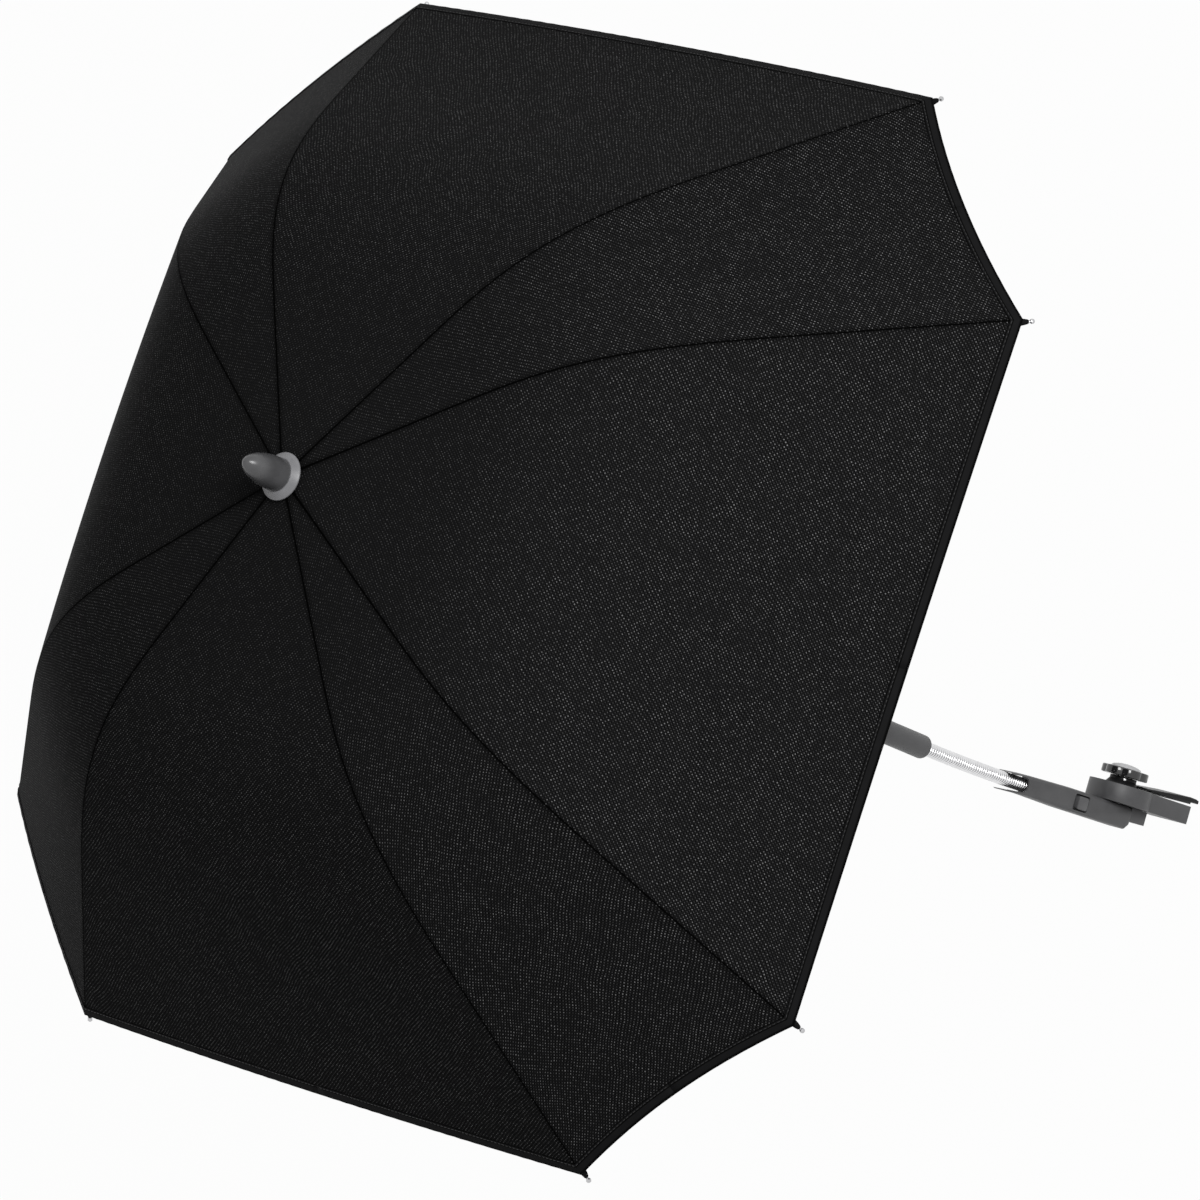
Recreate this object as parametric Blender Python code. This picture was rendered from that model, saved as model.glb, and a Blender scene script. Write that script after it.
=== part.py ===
# Stroller parasol: eight ribbed square canopy with cut corners, straight shaft,
# sprung gooseneck, plug-in handle bar and a screw clamp for a pram frame tube.
# Metres, +Z up along the shaft.  The origin is the middle of the clamp's grip.
import math

import bmesh
import bpy
from mathutils import Matrix, Vector

# Clearances
GAP = 0.0003
RUN = 0.0004
# How far a cutter runs past the face that it opens
PAST = 0.001

# Canopy: half width across the flats, half length of the long sides, rib curve
CANOPY_HALF_WIDTH = 0.350
CANOPY_HALF_SIDE = 0.2254
RIB_TOP_ANGLE = math.radians(6.28)
RIB_EDGE_ANGLE = math.radians(44.13)
BEND_START = 0.130
BEND_END = 0.320
HEM_CUT_WIDE = 0.001
HEM_CUT_NARROW = 0.0065
PANEL_SWELL = 0.0045
SWELL_TILT = math.radians(44.0)
FABRIC = 0.0008

# Shaft and its top
SHAFT_RADIUS = 0.005
SHAFT_WALL = 0.0008
FERRULE_RADIUS = 0.0108
FERRULE_LENGTH = 0.031
FERRULE_FULLNESS = 0.56
FERRULE_SKIRT = 0.004
FERRULE_ROOF = 0.0145
WASHER_RADIUS = 0.0155
WASHER_HEIGHT = 0.0042
WASHER_RIM = 0.0010
WASHER_SLOPE = 0.0042
NOTCH_RIM = 0.0035
NOTCH_HEIGHT = 0.0125
NOTCH_CAP = 0.0016
NOTCH_PIVOT_DROP = 0.0068
NOTCH_WIRE = 0.0006
NOTCH_LEDGE = 0.002
# Thinnest plastic between two slots
SPOKE = 0.00077

# Ribs and stretchers
RIB_WIDTH = 0.0030
RIB_HEIGHT = 0.0026
RIB_WALL = 0.0006
RIB_UNDER_FABRIC = 0.0014
TANG = 0.0015
TANG_HEIGHT = 0.0024
EYE_RADIUS = 0.0022
JOINT_RADIUS = 0.235
BRACKET_LENGTH = 0.008
BRACKET_WALL = 0.0012
BRACKET_WEB = 0.0014
JOINT_DROP = 0.0062
RIVET_RADIUS = 0.0009
RIVET_HEAD_RADIUS = 0.0016
RIVET_HEAD = 0.0007
EYE_REACH = 0.012
RUNNER_EYE_REACH = 0.014
TANG_LAP = 0.005
STRETCHER_HEIGHT = 0.0026
STRETCHER_WIDTH = 0.0030
TIP_BALL_RADIUS = 0.00175
TIP_NECK_RADIUS = 0.0009
TIP_REACH = 0.0065
TIP_CAP = 0.0010

# Runner and its catch
RUNNER_WALL = 0.0021
RUNNER_RIM = 0.004
RUNNER_CROWN_HALF = 0.005
RUNNER_GRIP = 0.036
CATCH_REACH = 0.0034
CATCH_LENGTH = 0.028
CATCH_WIDTH = 0.003
CATCH_THICKNESS = 0.0006
CATCH_HEAD = 0.004
CATCH_STEP = 0.0022
CATCH_CREST = 0.0038
CATCH_TAIL = 0.006

# Sleeve and gooseneck
SLEEVE_RADIUS = 0.00825
SLEEVE_LENGTH = 0.074
SLEEVE_END = 0.668
SLEEVE_ROUND = 0.0016
SHAFT_IN_SLEEVE = 0.050
NECK_LENGTH = 0.1215
NECK_BEND = math.radians(3.1)
COIL_RADIUS = 0.0040
COIL_WIRE = 0.00195
COIL_PITCH = 0.00243
CORE_DEPTH = 0.015

# Handle bar, in its own frame: -Z runs down the bar, the knob looks along +X
BAR_TOP_HALF = 0.0071
BAR_HALF = 0.0081
BAR_DEPTH_HALF = 0.008
BAR_LENGTH = 0.120
BAR_TAPER_LENGTH = 0.045
BAR_ROUND = 0.0022
FOOT_ROUND = 0.005
FOOT_CHAMFER = 0.004
PRONG_TAPER = 0.0003
PRONG_LENGTH = 0.021
PRONG_WALL = 0.0012
MOUTH_RADIUS = 0.0055
POCKET_DEPTH = 0.0095
FRONT_WALL = 0.0016
CAVITY_HALF = 0.0054
CAVITY_DEPTH_HALF = 0.0063
CAVITY_TOP = 0.050
WINDOW_HEIGHT = 0.0164
WINDOW_WIDTH = 0.0115
WINDOW_DROP = 0.061
BUTTON_HEIGHT = 0.0112
BUTTON_WIDTH = 0.0093
BUTTON_PROUD = 0.0012
BUTTON_TRAVEL = 0.0025
BUTTON_OFFSET = 0.0010
BUTTON_DEPTH = 0.0022
BUTTON_CORNER = 0.0018
BUTTON_ROUND = 0.0007
WINDOW_CORNER = 0.0015

# Tongue that the bar plugs on to, and the swivel
TONGUE_END = 0.018
TONGUE_END_DEPTH = 0.0097
SWIVEL_FROM_FOOT = 0.011
BOSS_RADIUS = 0.005

# Clamp
DRUM_RADIUS = 0.023
DRUM_HEIGHT = 0.0128
ARM_HALF_WIDTH = 0.017
ARM_REACH = 0.0635
ARM_CHAMFER = 0.002
JAW_GAP = 0.0016
JAW_HALF_WIDTH = 0.015
JAW_ROOT = 0.0010
JAW_TIP = 0.0046
JAW_OVERHANG = 0.0075
JAW_LIP = 0.0015
JAW_NOSE = 0.003
JAW_BULGE = 0.010
JAW_SHOULDER = 0.017
HOOK_RADIUS = 0.0042
HOOK_INSET = 0.0012
COLLAR_BASE_RADIUS = 0.0120
COLLAR_TOP_RADIUS = 0.0096
COLLAR_HEIGHT = 0.0055
KNOB_RADIUS = 0.0168
KNOB_HEIGHT = 0.0058
KNOB_LOBES = 6
KNOB_WAVE = 0.0019
KNOB_ROUND = 0.0008
CAP_RADIUS = 0.0110
CAP_HEIGHT = 0.0030
SCREW_RADIUS = 0.0030
SCREW_LENGTH = 0.032
SCREW_IN_KNOB = 0.0035
SCREW_CHAMFER = 0.001
PIN_RADIUS = 0.0010
PIN_DEPTH = 0.0025
PIN_ANGLE = math.radians(-45.0)
GRIP_FROM_END = 0.010

SIDES = 32


# Colours

def material(name, colour, roughness, metallic=0.0):
    shade = bpy.data.materials.new(name)
    shade.use_nodes = True
    shader = shade.node_tree.nodes["Principled BSDF"]
    shader.inputs["Base Color"].default_value = (*colour, 1.0)
    shader.inputs["Roughness"].default_value = roughness
    shader.inputs["Metallic"].default_value = metallic
    return shade


# Small modelling helpers

def place(name, mesh, shade, parent, location=(0, 0, 0), turn=(0, 0, 0), smooth=30.0):
    mesh.materials.clear()
    mesh.materials.append(shade)
    if smooth:
        mesh.shade_smooth()
        mesh.set_sharp_from_angle(angle=math.radians(smooth))
    thing = bpy.data.objects.new(name, mesh)
    bpy.context.scene.collection.objects.link(thing)
    thing.parent = parent
    thing.location = location
    thing.rotation_euler = turn
    return thing


def empty(name, parent=None, location=(0, 0, 0), turn=(0, 0, 0)):
    thing = bpy.data.objects.new(name, None)
    bpy.context.scene.collection.objects.link(thing)
    thing.parent = parent
    thing.location = location
    thing.rotation_euler = turn
    thing.empty_display_size = 0.01
    return thing


def finished(bm):
    bmesh.ops.remove_doubles(bm, verts=bm.verts, dist=1e-6)
    bmesh.ops.recalc_face_normals(bm, faces=bm.faces)
    mesh = bpy.data.meshes.new("shape")
    bm.to_mesh(mesh)
    bm.free()
    return mesh


def turned(profile, steps=SIDES, closed=False):
    """Spins a profile of (radius, height) points about Z."""
    bm = bmesh.new()
    verts = [bm.verts.new((radius, 0, height)) for radius, height in profile]
    edges = [bm.edges.new(pair) for pair in zip(verts, verts[1:])]
    if closed:
        edges.append(bm.edges.new((verts[-1], verts[0])))
    bmesh.ops.spin(bm, geom=verts + edges, cent=(0, 0, 0), axis=(0, 0, 1),
                   angle=2 * math.pi, steps=steps, use_merge=True)
    return finished(bm)


def tube(outer, inner, low, high, steps=SIDES):
    return turned([(outer, high), (outer, low), (inner, low), (inner, high)], steps, closed=True)


def slab(outline, low, high, normal="Z"):
    """Extrudes an outline; normal names the axis that the outline is extruded along."""
    bm = bmesh.new()
    face = bm.faces.new([bm.verts.new((a, b, low)) for a, b in outline])
    grown = bmesh.ops.extrude_face_region(bm, geom=[face])
    moved = [item for item in grown["geom"] if isinstance(item, bmesh.types.BMVert)]
    bmesh.ops.translate(bm, verts=moved, vec=(0, 0, high - low))
    if normal == "Y":
        turn = Matrix(((1, 0, 0, 0), (0, 0, 1, 0), (0, 1, 0, 0), (0, 0, 0, 1)))
        bmesh.ops.transform(bm, matrix=turn, verts=bm.verts)
    if normal == "X":
        turn = Matrix(((0, 0, 1, 0), (1, 0, 0, 0), (0, 1, 0, 0), (0, 0, 0, 1)))
        bmesh.ops.transform(bm, matrix=turn, verts=bm.verts)
    return finished(bm)


def box(x0, x1, y0, y1, z0, z1):
    return slab([(x0, y0), (x1, y0), (x1, y1), (x0, y1)], z0, z1)


def arc(cx, cy, radius, start, end, count):
    step = (end - start) / count
    return [(cx + radius * math.cos(start + step * i), cy + radius * math.sin(start + step * i))
            for i in range(count + 1)]


def along_x(mesh, x=0.0, z=0.0):
    """Turns a part made about Z so that its axis lies along +X."""
    mesh.transform(Matrix.Translation((x, 0, z)) @ Matrix.Rotation(math.pi / 2, 4, "Y"))
    return mesh


def along_y(mesh, x=0.0, z=0.0):
    mesh.transform(Matrix.Translation((x, 0, z)) @ Matrix.Rotation(math.pi / 2, 4, "X"))
    return mesh


def swept(stations, section):
    """Runs a section of (across, up) points along (x, z, angle) stations in the XZ plane."""
    bm = bmesh.new()
    rings = []
    for x, z, angle in stations:
        up = Vector((-math.sin(angle), 0, math.cos(angle)))
        rings.append([bm.verts.new(Vector((x, across, z)) + up * rise) for across, rise in section])
    for ring, after in zip(rings, rings[1:]):
        for i in range(len(section)):
            k = (i + 1) % len(section)
            bm.faces.new((ring[i], ring[k], after[k], after[i]))
    bm.faces.new(rings[0])
    bm.faces.new(rings[-1])
    return finished(bm)


def cut(thing, *cutters, operation="DIFFERENCE"):
    for index, mesh in enumerate(cutters):
        guide = bpy.data.objects.new(f"{thing.name}_guide_{len(thing.modifiers)}", mesh)
        bpy.context.scene.collection.objects.link(guide)
        guide.parent = thing
        guide.hide_render = True
        guide.display_type = "WIRE"
        step = thing.modifiers.new(f"{operation.lower()}_{index}", "BOOLEAN")
        step.operation = operation
        step.solver = "EXACT"
        step.object = guide


def join(thing, *additions):
    cut(thing, *additions, operation="UNION")


def rounded(thing, width, segments=2, angle=40.0):
    bevel = thing.modifiers.new("rounding", "BEVEL")
    bevel.width = width
    bevel.segments = segments
    bevel.limit_method = "ANGLE"
    bevel.angle_limit = math.radians(angle)
    return bevel


def baked(base, shade, additions=(), cutters=(), pins=()):
    """Works the Booleans out once, so that the copies of a repeated piece can share a mesh."""
    thing = place("template", base, shade, None)
    join(thing, *additions)
    cut(thing, *cutters)
    join(thing, *pins)
    graph = bpy.context.evaluated_depsgraph_get()
    graph.update()
    mesh = bpy.data.meshes.new_from_object(thing.evaluated_get(graph))
    for child in list(thing.children):
        bpy.data.objects.remove(child)
    bpy.data.objects.remove(thing)
    return mesh


# The rib curve, in the upright plane through the shaft and the rib

RIB_SLOPE_TOP = math.tan(RIB_TOP_ANGLE)
RIB_SLOPE_EDGE = math.tan(RIB_EDGE_ANGLE)


def rib_slope(radius):
    share = min(1.0, max(0.0, (radius - BEND_START) / (BEND_END - BEND_START)))
    return RIB_SLOPE_TOP + (RIB_SLOPE_EDGE - RIB_SLOPE_TOP) * share * share * (3 - 2 * share)


def fabric_height(radius):
    """Height of the cloth's outer face over a rib, below the hub."""
    share = min(1.0, max(0.0, (radius - BEND_START) / (BEND_END - BEND_START)))
    bent = (BEND_END - BEND_START) * (share ** 3 - share ** 4 / 2) + max(0.0, radius - BEND_END)
    return -RIB_SLOPE_TOP * radius - (RIB_SLOPE_EDGE - RIB_SLOPE_TOP) * bent


RIB_CENTRE = FABRIC + RIB_UNDER_FABRIC + RIB_HEIGHT / 2
CORNER_RADIUS = math.hypot(CANOPY_HALF_WIDTH, CANOPY_HALF_SIDE)
CORNER_AZIMUTH = math.atan2(CANOPY_HALF_SIDE, CANOPY_HALF_WIDTH)
AZIMUTHS = []
for quarter in range(4):
    AZIMUTHS.append(quarter * math.pi / 2 - CORNER_AZIMUTH)
    AZIMUTHS.append(quarter * math.pi / 2 + CORNER_AZIMUTH)
RIB_NAMES = [str(number) for number in range(1, 9)]


def rib_station(radius):
    """Rib centre line square under the cloth: radius, height and angle of its run."""
    angle = -math.atan(rib_slope(radius))
    height = fabric_height(radius) - RIB_CENTRE * math.cos(angle)
    return radius + RIB_CENTRE * math.sin(angle), height, angle


# The pivots stand out far enough for the slots of the two closest ribs to stay apart.
RIB_SPREAD = min(2 * CORNER_AZIMUTH, math.pi / 2 - 2 * CORNER_AZIMUTH)
SLOT_HALF = TANG / 2 + 2 * GAP
SLOT_FLOOR = (SLOT_HALF + SPOKE / 2) / math.tan(RIB_SPREAD / 2)
NOTCH_PIVOT_RADIUS = SLOT_FLOOR + EYE_RADIUS + GAP
NOTCH_RADIUS = NOTCH_PIVOT_RADIUS + NOTCH_RIM
RUNNER_CROWN_RADIUS = NOTCH_PIVOT_RADIUS + RUNNER_RIM

# Widest panel, as its middle's share of the corner radius
FLAT = math.cos(max(CORNER_AZIMUTH, math.pi / 4 - CORNER_AZIMUTH))
# The cloth's hole clears the shaft on the flats between the ribs too.
CLOTH_HOLE = (SHAFT_RADIUS + FABRIC) / FLAT + GAP
RIB_RADII = [NOTCH_RADIUS + NOTCH_LEDGE, BEND_START / 2, JOINT_RADIUS, CORNER_RADIUS]
RIB_RADII += [BEND_START + (BEND_END - BEND_START) * step / 6 for step in range(7)]
RIB_RADII.sort()


JOINT_AT, JOINT_CENTRE, JOINT_LEAN = rib_station(JOINT_RADIUS)
JOINT_X = JOINT_AT + JOINT_DROP * math.sin(JOINT_LEAN)
JOINT_Z = JOINT_CENTRE - JOINT_DROP * math.cos(JOINT_LEAN)
FERRULE_BASE = WASHER_HEIGHT + 2 * GAP
SHAFT_TOP = FERRULE_BASE + FERRULE_LENGTH - FERRULE_ROOF - GAP
# The notch sits under the lowest cloth above it, which is on the flats.
NOTCH_TOP = fabric_height((NOTCH_RADIUS + GAP) / FLAT) - 1.2 * FABRIC - 3 * GAP
PIVOT_X = NOTCH_PIVOT_RADIUS
PIVOT_Z = NOTCH_TOP - NOTCH_PIVOT_DROP
ARM_LENGTH = math.hypot(JOINT_X - PIVOT_X, JOINT_Z - PIVOT_Z)
ARM_ANGLE = math.atan2(PIVOT_Z - JOINT_Z, JOINT_X - PIVOT_X)
RUNNER_Z = PIVOT_Z - 2 * ARM_LENGTH * math.sin(ARM_ANGLE)

# Where the handle's frame starts, seen from the top of the shaft
BEND_RADIUS = NECK_LENGTH / NECK_BEND
NECK_TOP = -(SLEEVE_END + GAP)
HANDLE_X = BEND_RADIUS * (1 - math.cos(NECK_BEND))
HANDLE_Z = NECK_TOP - BEND_RADIUS * math.sin(NECK_BEND)
# The handle's frame has its zero at the bottom of the mouth, above the end of the coil
ZERO_X = HANDLE_X - POCKET_DEPTH * math.sin(NECK_BEND)
ZERO_Z = HANDLE_Z + POCKET_DEPTH * math.cos(NECK_BEND)

SWIVEL_DROP = BAR_LENGTH - SWIVEL_FROM_FOOT
DRUM_BOTTOM = BAR_HALF + GAP
DRUM_TOP = DRUM_BOTTOM + DRUM_HEIGHT
ARM_END = -(SWIVEL_DROP + ARM_REACH)
GRIP_X = DRUM_TOP + JAW_GAP / 2
GRIP_Z = ARM_END + GRIP_FROM_END
ORIGIN_X = ZERO_X + GRIP_X * math.cos(NECK_BEND) - GRIP_Z * math.sin(NECK_BEND)
ORIGIN_Z = ZERO_Z + GRIP_X * math.sin(NECK_BEND) + GRIP_Z * math.cos(NECK_BEND)


def build_top(hub, shades):
    bore = SHAFT_RADIUS + GAP
    base = FERRULE_BASE
    skirt = base + FERRULE_SKIRT
    nose = base + FERRULE_LENGTH
    profile = [(FERRULE_RADIUS, base), (FERRULE_RADIUS, skirt)]
    # A bullet: the sides close in slowly at first and then to a round nose.
    for rise in (0.2, 0.4, 0.6, 0.75, 0.86, 0.94, 0.985):
        width = FERRULE_RADIUS * (1 - rise ** 2) ** FERRULE_FULLNESS
        profile.append((width, skirt + (nose - skirt) * rise))
    profile.append((0, nose))
    ceiling = SHAFT_TOP + GAP
    profile.reverse()
    profile += [(bore, base), (bore, ceiling), (0, ceiling)]
    place("ferrule", turned(profile, 24), shades["grip"], hub)
    top = WASHER_HEIGHT + GAP
    washer = [(bore, GAP), (bore, top), (WASHER_RADIUS - WASHER_SLOPE, top),
              (WASHER_RADIUS, WASHER_RIM + GAP), (WASHER_RADIUS, GAP)]
    place("ferrule_washer", turned(washer, SIDES, closed=True), shades["washer"], hub)

    top = NOTCH_TOP
    bottom = top - NOTCH_HEIGHT
    notch = place("top_notch", tube(NOTCH_RADIUS, bore, bottom, top), shades["black"], hub)
    half = TANG / 2 + GAP
    for azimuth in AZIMUTHS:
        slit = box(SLOT_FLOOR, NOTCH_RADIUS + PAST, -half, half, bottom - PAST, top - NOTCH_CAP)
        slit.transform(Matrix.Rotation(azimuth, 4, "Z"))
        cut(notch, slit)
    groove = NOTCH_WIRE + GAP
    cut(notch, tube(PIVOT_X + groove, PIVOT_X - groove, bottom - PAST, PIVOT_Z + groove))
    ring = turned([(PIVOT_X + NOTCH_WIRE * math.cos(a), PIVOT_Z + NOTCH_WIRE * math.sin(a))
                   for a in (math.pi / 3 * i for i in range(6))], SIDES, closed=True)
    place("notch_wire", ring, shades["steel"], hub)


def build_shaft(hub, shades):
    bottom = -(SLEEVE_END - SLEEVE_LENGTH) - SHAFT_IN_SLEEVE
    shaft = place("shaft_tube", tube(SHAFT_RADIUS, SHAFT_RADIUS - SHAFT_WALL, bottom, SHAFT_TOP, 24),
                  shades["chrome"], hub)
    top = RUNNER_Z - RUNNER_CROWN_HALF - RUNNER_GRIP - GAP
    slot = CATCH_WIDTH / 2 + GAP
    cut(shaft, box(-slot, slot, 0, SHAFT_RADIUS + PAST, top - CATCH_LENGTH - PAST, top + PAST))
    # The catch is a strip whose ends lie in the tube; its hump holds the runner up.
    inside = SHAFT_RADIUS - SHAFT_WALL - CATCH_THICKNESS - GAP
    hump = SHAFT_RADIUS + CATCH_REACH
    path = [(inside, top + CATCH_HEAD), (inside, top), (hump, top - CATCH_STEP),
            (hump - 2 * CATCH_THICKNESS, top - CATCH_STEP - CATCH_CREST), (inside, top - CATCH_LENGTH),
            (inside, top - CATCH_LENGTH - CATCH_TAIL)]
    outline = path + [(y - CATCH_THICKNESS, z) for y, z in reversed(path)]
    half = CATCH_WIDTH / 2
    place("catch_spring", slab([(y, z) for y, z in outline], -half, half, "X"), shades["steel"], hub)

    inner = SHAFT_RADIUS + RUN
    outer = inner + RUNNER_WALL
    crown = RUNNER_CROWN_HALF
    profile = [(inner, crown), (RUNNER_CROWN_RADIUS, crown), (RUNNER_CROWN_RADIUS, -crown),
               (outer, -crown), (outer, -crown - RUNNER_GRIP), (inner, -crown - RUNNER_GRIP)]
    runner = place("runner", turned(profile, 24, closed=True), shades["black"], hub, (0, 0, RUNNER_Z))
    for azimuth in AZIMUTHS:
        slit = box(SLOT_FLOOR, RUNNER_CROWN_RADIUS + PAST, -SLOT_HALF, SLOT_HALF, -crown - PAST, crown + PAST)
        slit.transform(Matrix.Rotation(azimuth, 4, "Z"))
        cut(runner, slit)


def channel(width, height, wall, opens_down=True):
    side = width / 2
    foot = -height / 2
    web = height / 2 - wall
    points = [(-side, height / 2), (side, height / 2), (side, foot), (side - wall, foot),
              (side - wall, web), (wall - side, web), (wall - side, foot), (-side, foot)]
    return points if opens_down else [(across, -rise) for across, rise in points]


def eye_plate(ends, radius, height, thickness):
    """A flat strip along the points in ends, with a round eye at the first of them."""
    first = Vector(ends[0])
    run = (Vector(ends[1]) - first).normalized()
    start = math.atan2(run.y, run.x)
    spread = math.asin(min(0.95, height / 2 / radius))
    outline = arc(first.x, first.y, radius, start + spread, start + 2 * math.pi - spread, 8)
    side = []
    for here, there in zip(ends[1:], ends[2:] + [None]):
        run = (Vector(there) - Vector(here)).normalized() if there else run
        across = Vector((-run.y, run.x)) * height / 2
        side.append((Vector(here) + across, Vector(here) - across))
    outline += [tuple(right) for left, right in side]
    outline += [tuple(left) for left, right in reversed(side)]
    return slab(outline, -thickness / 2, thickness / 2, "Y")


def build_rib_meshes(shades):
    stations = []
    for radius in RIB_RADII:
        x, z, angle = rib_station(radius)
        stations.append((x - PIVOT_X, z - PIVOT_Z, angle))
    blade = swept(stations, channel(RIB_WIDTH, RIB_HEIGHT, RIB_WALL))
    x, z, angle = stations[0]
    inner = z + RIB_HEIGHT / 2 - RIB_WALL * 0.5 - TANG_HEIGHT / 2
    tang = eye_plate([(0.0, 0.0), (x, inner), (x + TANG_LAP, inner - TANG_LAP * RIB_SLOPE_TOP)],
                     EYE_RADIUS, TANG_HEIGHT, TANG)
    hole = along_y(tube_cutter(NOTCH_WIRE + GAP, TANG * 2))
    return baked(blade, shades["steel"], [tang], [hole])


def tube_cutter(radius, length, steps=8):
    return turned([(0, length / 2), (radius, length / 2), (radius, -length / 2), (0, -length / 2)], steps)


def build_bracket_mesh(shades):
    """Bracket with its rivet through the stretcher's eye, about the joint's own centre."""
    ear = TANG / 2 + GAP
    outer = ear + BRACKET_WALL
    rib_foot = JOINT_DROP - RIB_HEIGHT / 2 - 2 * GAP
    low = -EYE_RADIUS
    half = BRACKET_LENGTH / 2
    body = box(-half, half, -outer, outer, low, rib_foot)
    # The slot clears the eye of the stretcher and stops at the web under the rib.
    slot = box(-half - PAST, half + PAST, -ear, ear, low - PAST, rib_foot - BRACKET_WEB)
    head = RIVET_HEAD_RADIUS
    face = outer + RIVET_HEAD
    # The heads start inside the ears, so that rivet and bracket are one body.
    reach = outer - BRACKET_WALL / 4
    profile = [(0, face), (head - RIVET_HEAD / 2, face), (head, outer), (head, reach),
               (RIVET_RADIUS, reach)]
    profile += [(radius, -height) for radius, height in reversed(profile)]
    bracket = baked(body, shades["steel"], [], [slot], [along_y(turned(profile, 8))])
    bracket.transform(Matrix.Rotation(-JOINT_LEAN, 4, "Y"))
    return bracket


def build_stretcher_mesh(shades):
    """Stretcher along -X from the joint at zero, sloping to the runner."""
    fall = math.sin(ARM_ANGLE)
    run = math.cos(ARM_ANGLE)
    first = EYE_REACH
    last = ARM_LENGTH - RUNNER_EYE_REACH
    stations = [(-run * d, -fall * d, ARM_ANGLE) for d in (first, last)]
    blade = swept(stations, channel(STRETCHER_WIDTH, STRETCHER_HEIGHT, RIB_WALL, opens_down=False))
    low = -STRETCHER_HEIGHT / 2 + RIB_WALL * 0.5 + TANG_HEIGHT / 2

    def point(distance, rise=0.0):
        return (-run * distance + fall * rise * -1, -fall * distance + run * rise)

    upper = eye_plate([point(0), point(first - TANG_LAP, low), point(first + TANG_LAP, low)],
                      EYE_RADIUS, TANG_HEIGHT, TANG)
    lower = eye_plate([point(ARM_LENGTH), point(last + TANG_LAP, low), point(last - TANG_LAP, low)],
                      EYE_RADIUS, TANG_HEIGHT, TANG)
    hole = along_y(tube_cutter(RIVET_RADIUS + GAP, TANG * 2))
    far = along_y(tube_cutter(RIVET_RADIUS, TANG * 2), -run * ARM_LENGTH, -fall * ARM_LENGTH)
    return baked(blade, shades["steel"], [upper, lower], [hole, far])


def build_tip_mesh():
    """Ball tip on its neck, along +X from the end of the rib."""
    ball = TIP_BALL_RADIUS
    centre = TIP_REACH
    profile = [(0, centre + ball)]
    profile += [(ball * math.sin(a), centre + ball * math.cos(a))
                for a in (math.pi / 5 * i for i in (1, 2, 3))]
    foot = centre - ball * math.cos(math.asin(TIP_NECK_RADIUS / ball))
    profile += [(TIP_NECK_RADIUS, foot), (TIP_NECK_RADIUS, TIP_CAP * 1.5)]
    profile += [(RIB_HEIGHT / 2, TIP_CAP), (RIB_HEIGHT / 2, GAP), (0, GAP)]
    mesh = turned(profile, 8)
    mesh.transform(Matrix.Rotation(math.pi / 2, 4, "Y"))
    return mesh


def rib_point(azimuth, share):
    """A point of the cloth over a rib; share runs from the hub to the corner."""
    radius = CLOTH_HOLE + (CORNER_RADIUS - CLOTH_HOLE) * share
    return Vector((radius * math.cos(azimuth), radius * math.sin(azimuth), fabric_height(radius)))


def panel_point(azimuth, other, share, across):
    """Cloth between two ribs: a chord that swells a little, cut back along the hem."""
    cut_back = HEM_CUT_WIDE if abs(other - azimuth) > math.pi / 4 else HEM_CUT_NARROW
    bow = 4 * across * (1 - across)
    share = share * (1 - bow * cut_back / CORNER_RADIUS)
    here = rib_point(azimuth, share)
    there = rib_point(other, share)
    point = here.lerp(there, across)
    middle = (azimuth + other) / 2
    outward = Vector((math.cos(middle), math.sin(middle), math.tan(SWELL_TILT))).normalized()
    return point + outward * PANEL_SWELL * bow * share


def build_gore(number, shades, parent):
    """The cloth carried by one rib, out to the middle of the panel on each side."""
    azimuth = AZIMUTHS[number]
    before = AZIMUTHS[number - 1] - (2 * math.pi if number == 0 else 0)
    after = AZIMUTHS[(number + 1) % 8] + (2 * math.pi if number == 7 else 0)
    shares = [0.0] + [(radius - CLOTH_HOLE) / (CORNER_RADIUS - CLOTH_HOLE) for radius in RIB_RADII]
    columns = [(before, 0.5), (before, 0.34), (before, 0.17), (azimuth, 0.0),
               (after, 0.17), (after, 0.34), (after, 0.5)]
    bm = bmesh.new()
    grid = []
    for share in shares:
        row = []
        for other, across in columns:
            point = panel_point(azimuth, other, share, across)
            row.append(bm.verts.new(point))
        grid.append(row)
    for row, below in zip(grid, grid[1:]):
        for i in range(len(columns) - 1):
            bm.faces.new((row[i], below[i], below[i + 1], row[i + 1]))
    # Each gore stops a hair short of the one beside it.
    middle = Vector((math.cos(azimuth), math.sin(azimuth), 0))
    for column, other in ((0, before), (-1, after)):
        between = (azimuth + other) / 2
        side = Vector((-math.sin(between), math.cos(between), 0))
        side = side if side.dot(middle) > 0 else -side
        for row in grid:
            row[column].co += side * GAP / 2
    bmesh.ops.recalc_face_normals(bm, faces=bm.faces)
    if sum(face.normal.z for face in bm.faces) < 0:
        bmesh.ops.reverse_faces(bm, faces=bm.faces)
    mesh = bpy.data.meshes.new("gore")
    bm.to_mesh(mesh)
    bm.free()
    mesh.transform(Matrix.Rotation(-azimuth, 4, "Z"))
    mesh.transform(Matrix.Translation((-PIVOT_X, 0, -PIVOT_Z)))
    gore = place(f"canopy_gore_{RIB_NAMES[number]}", mesh, shades["cloth"], parent, smooth=60.0)
    thicken = gore.modifiers.new("cloth", "SOLIDIFY")
    thicken.thickness = FABRIC
    thicken.offset = -1.0
    return gore


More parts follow.
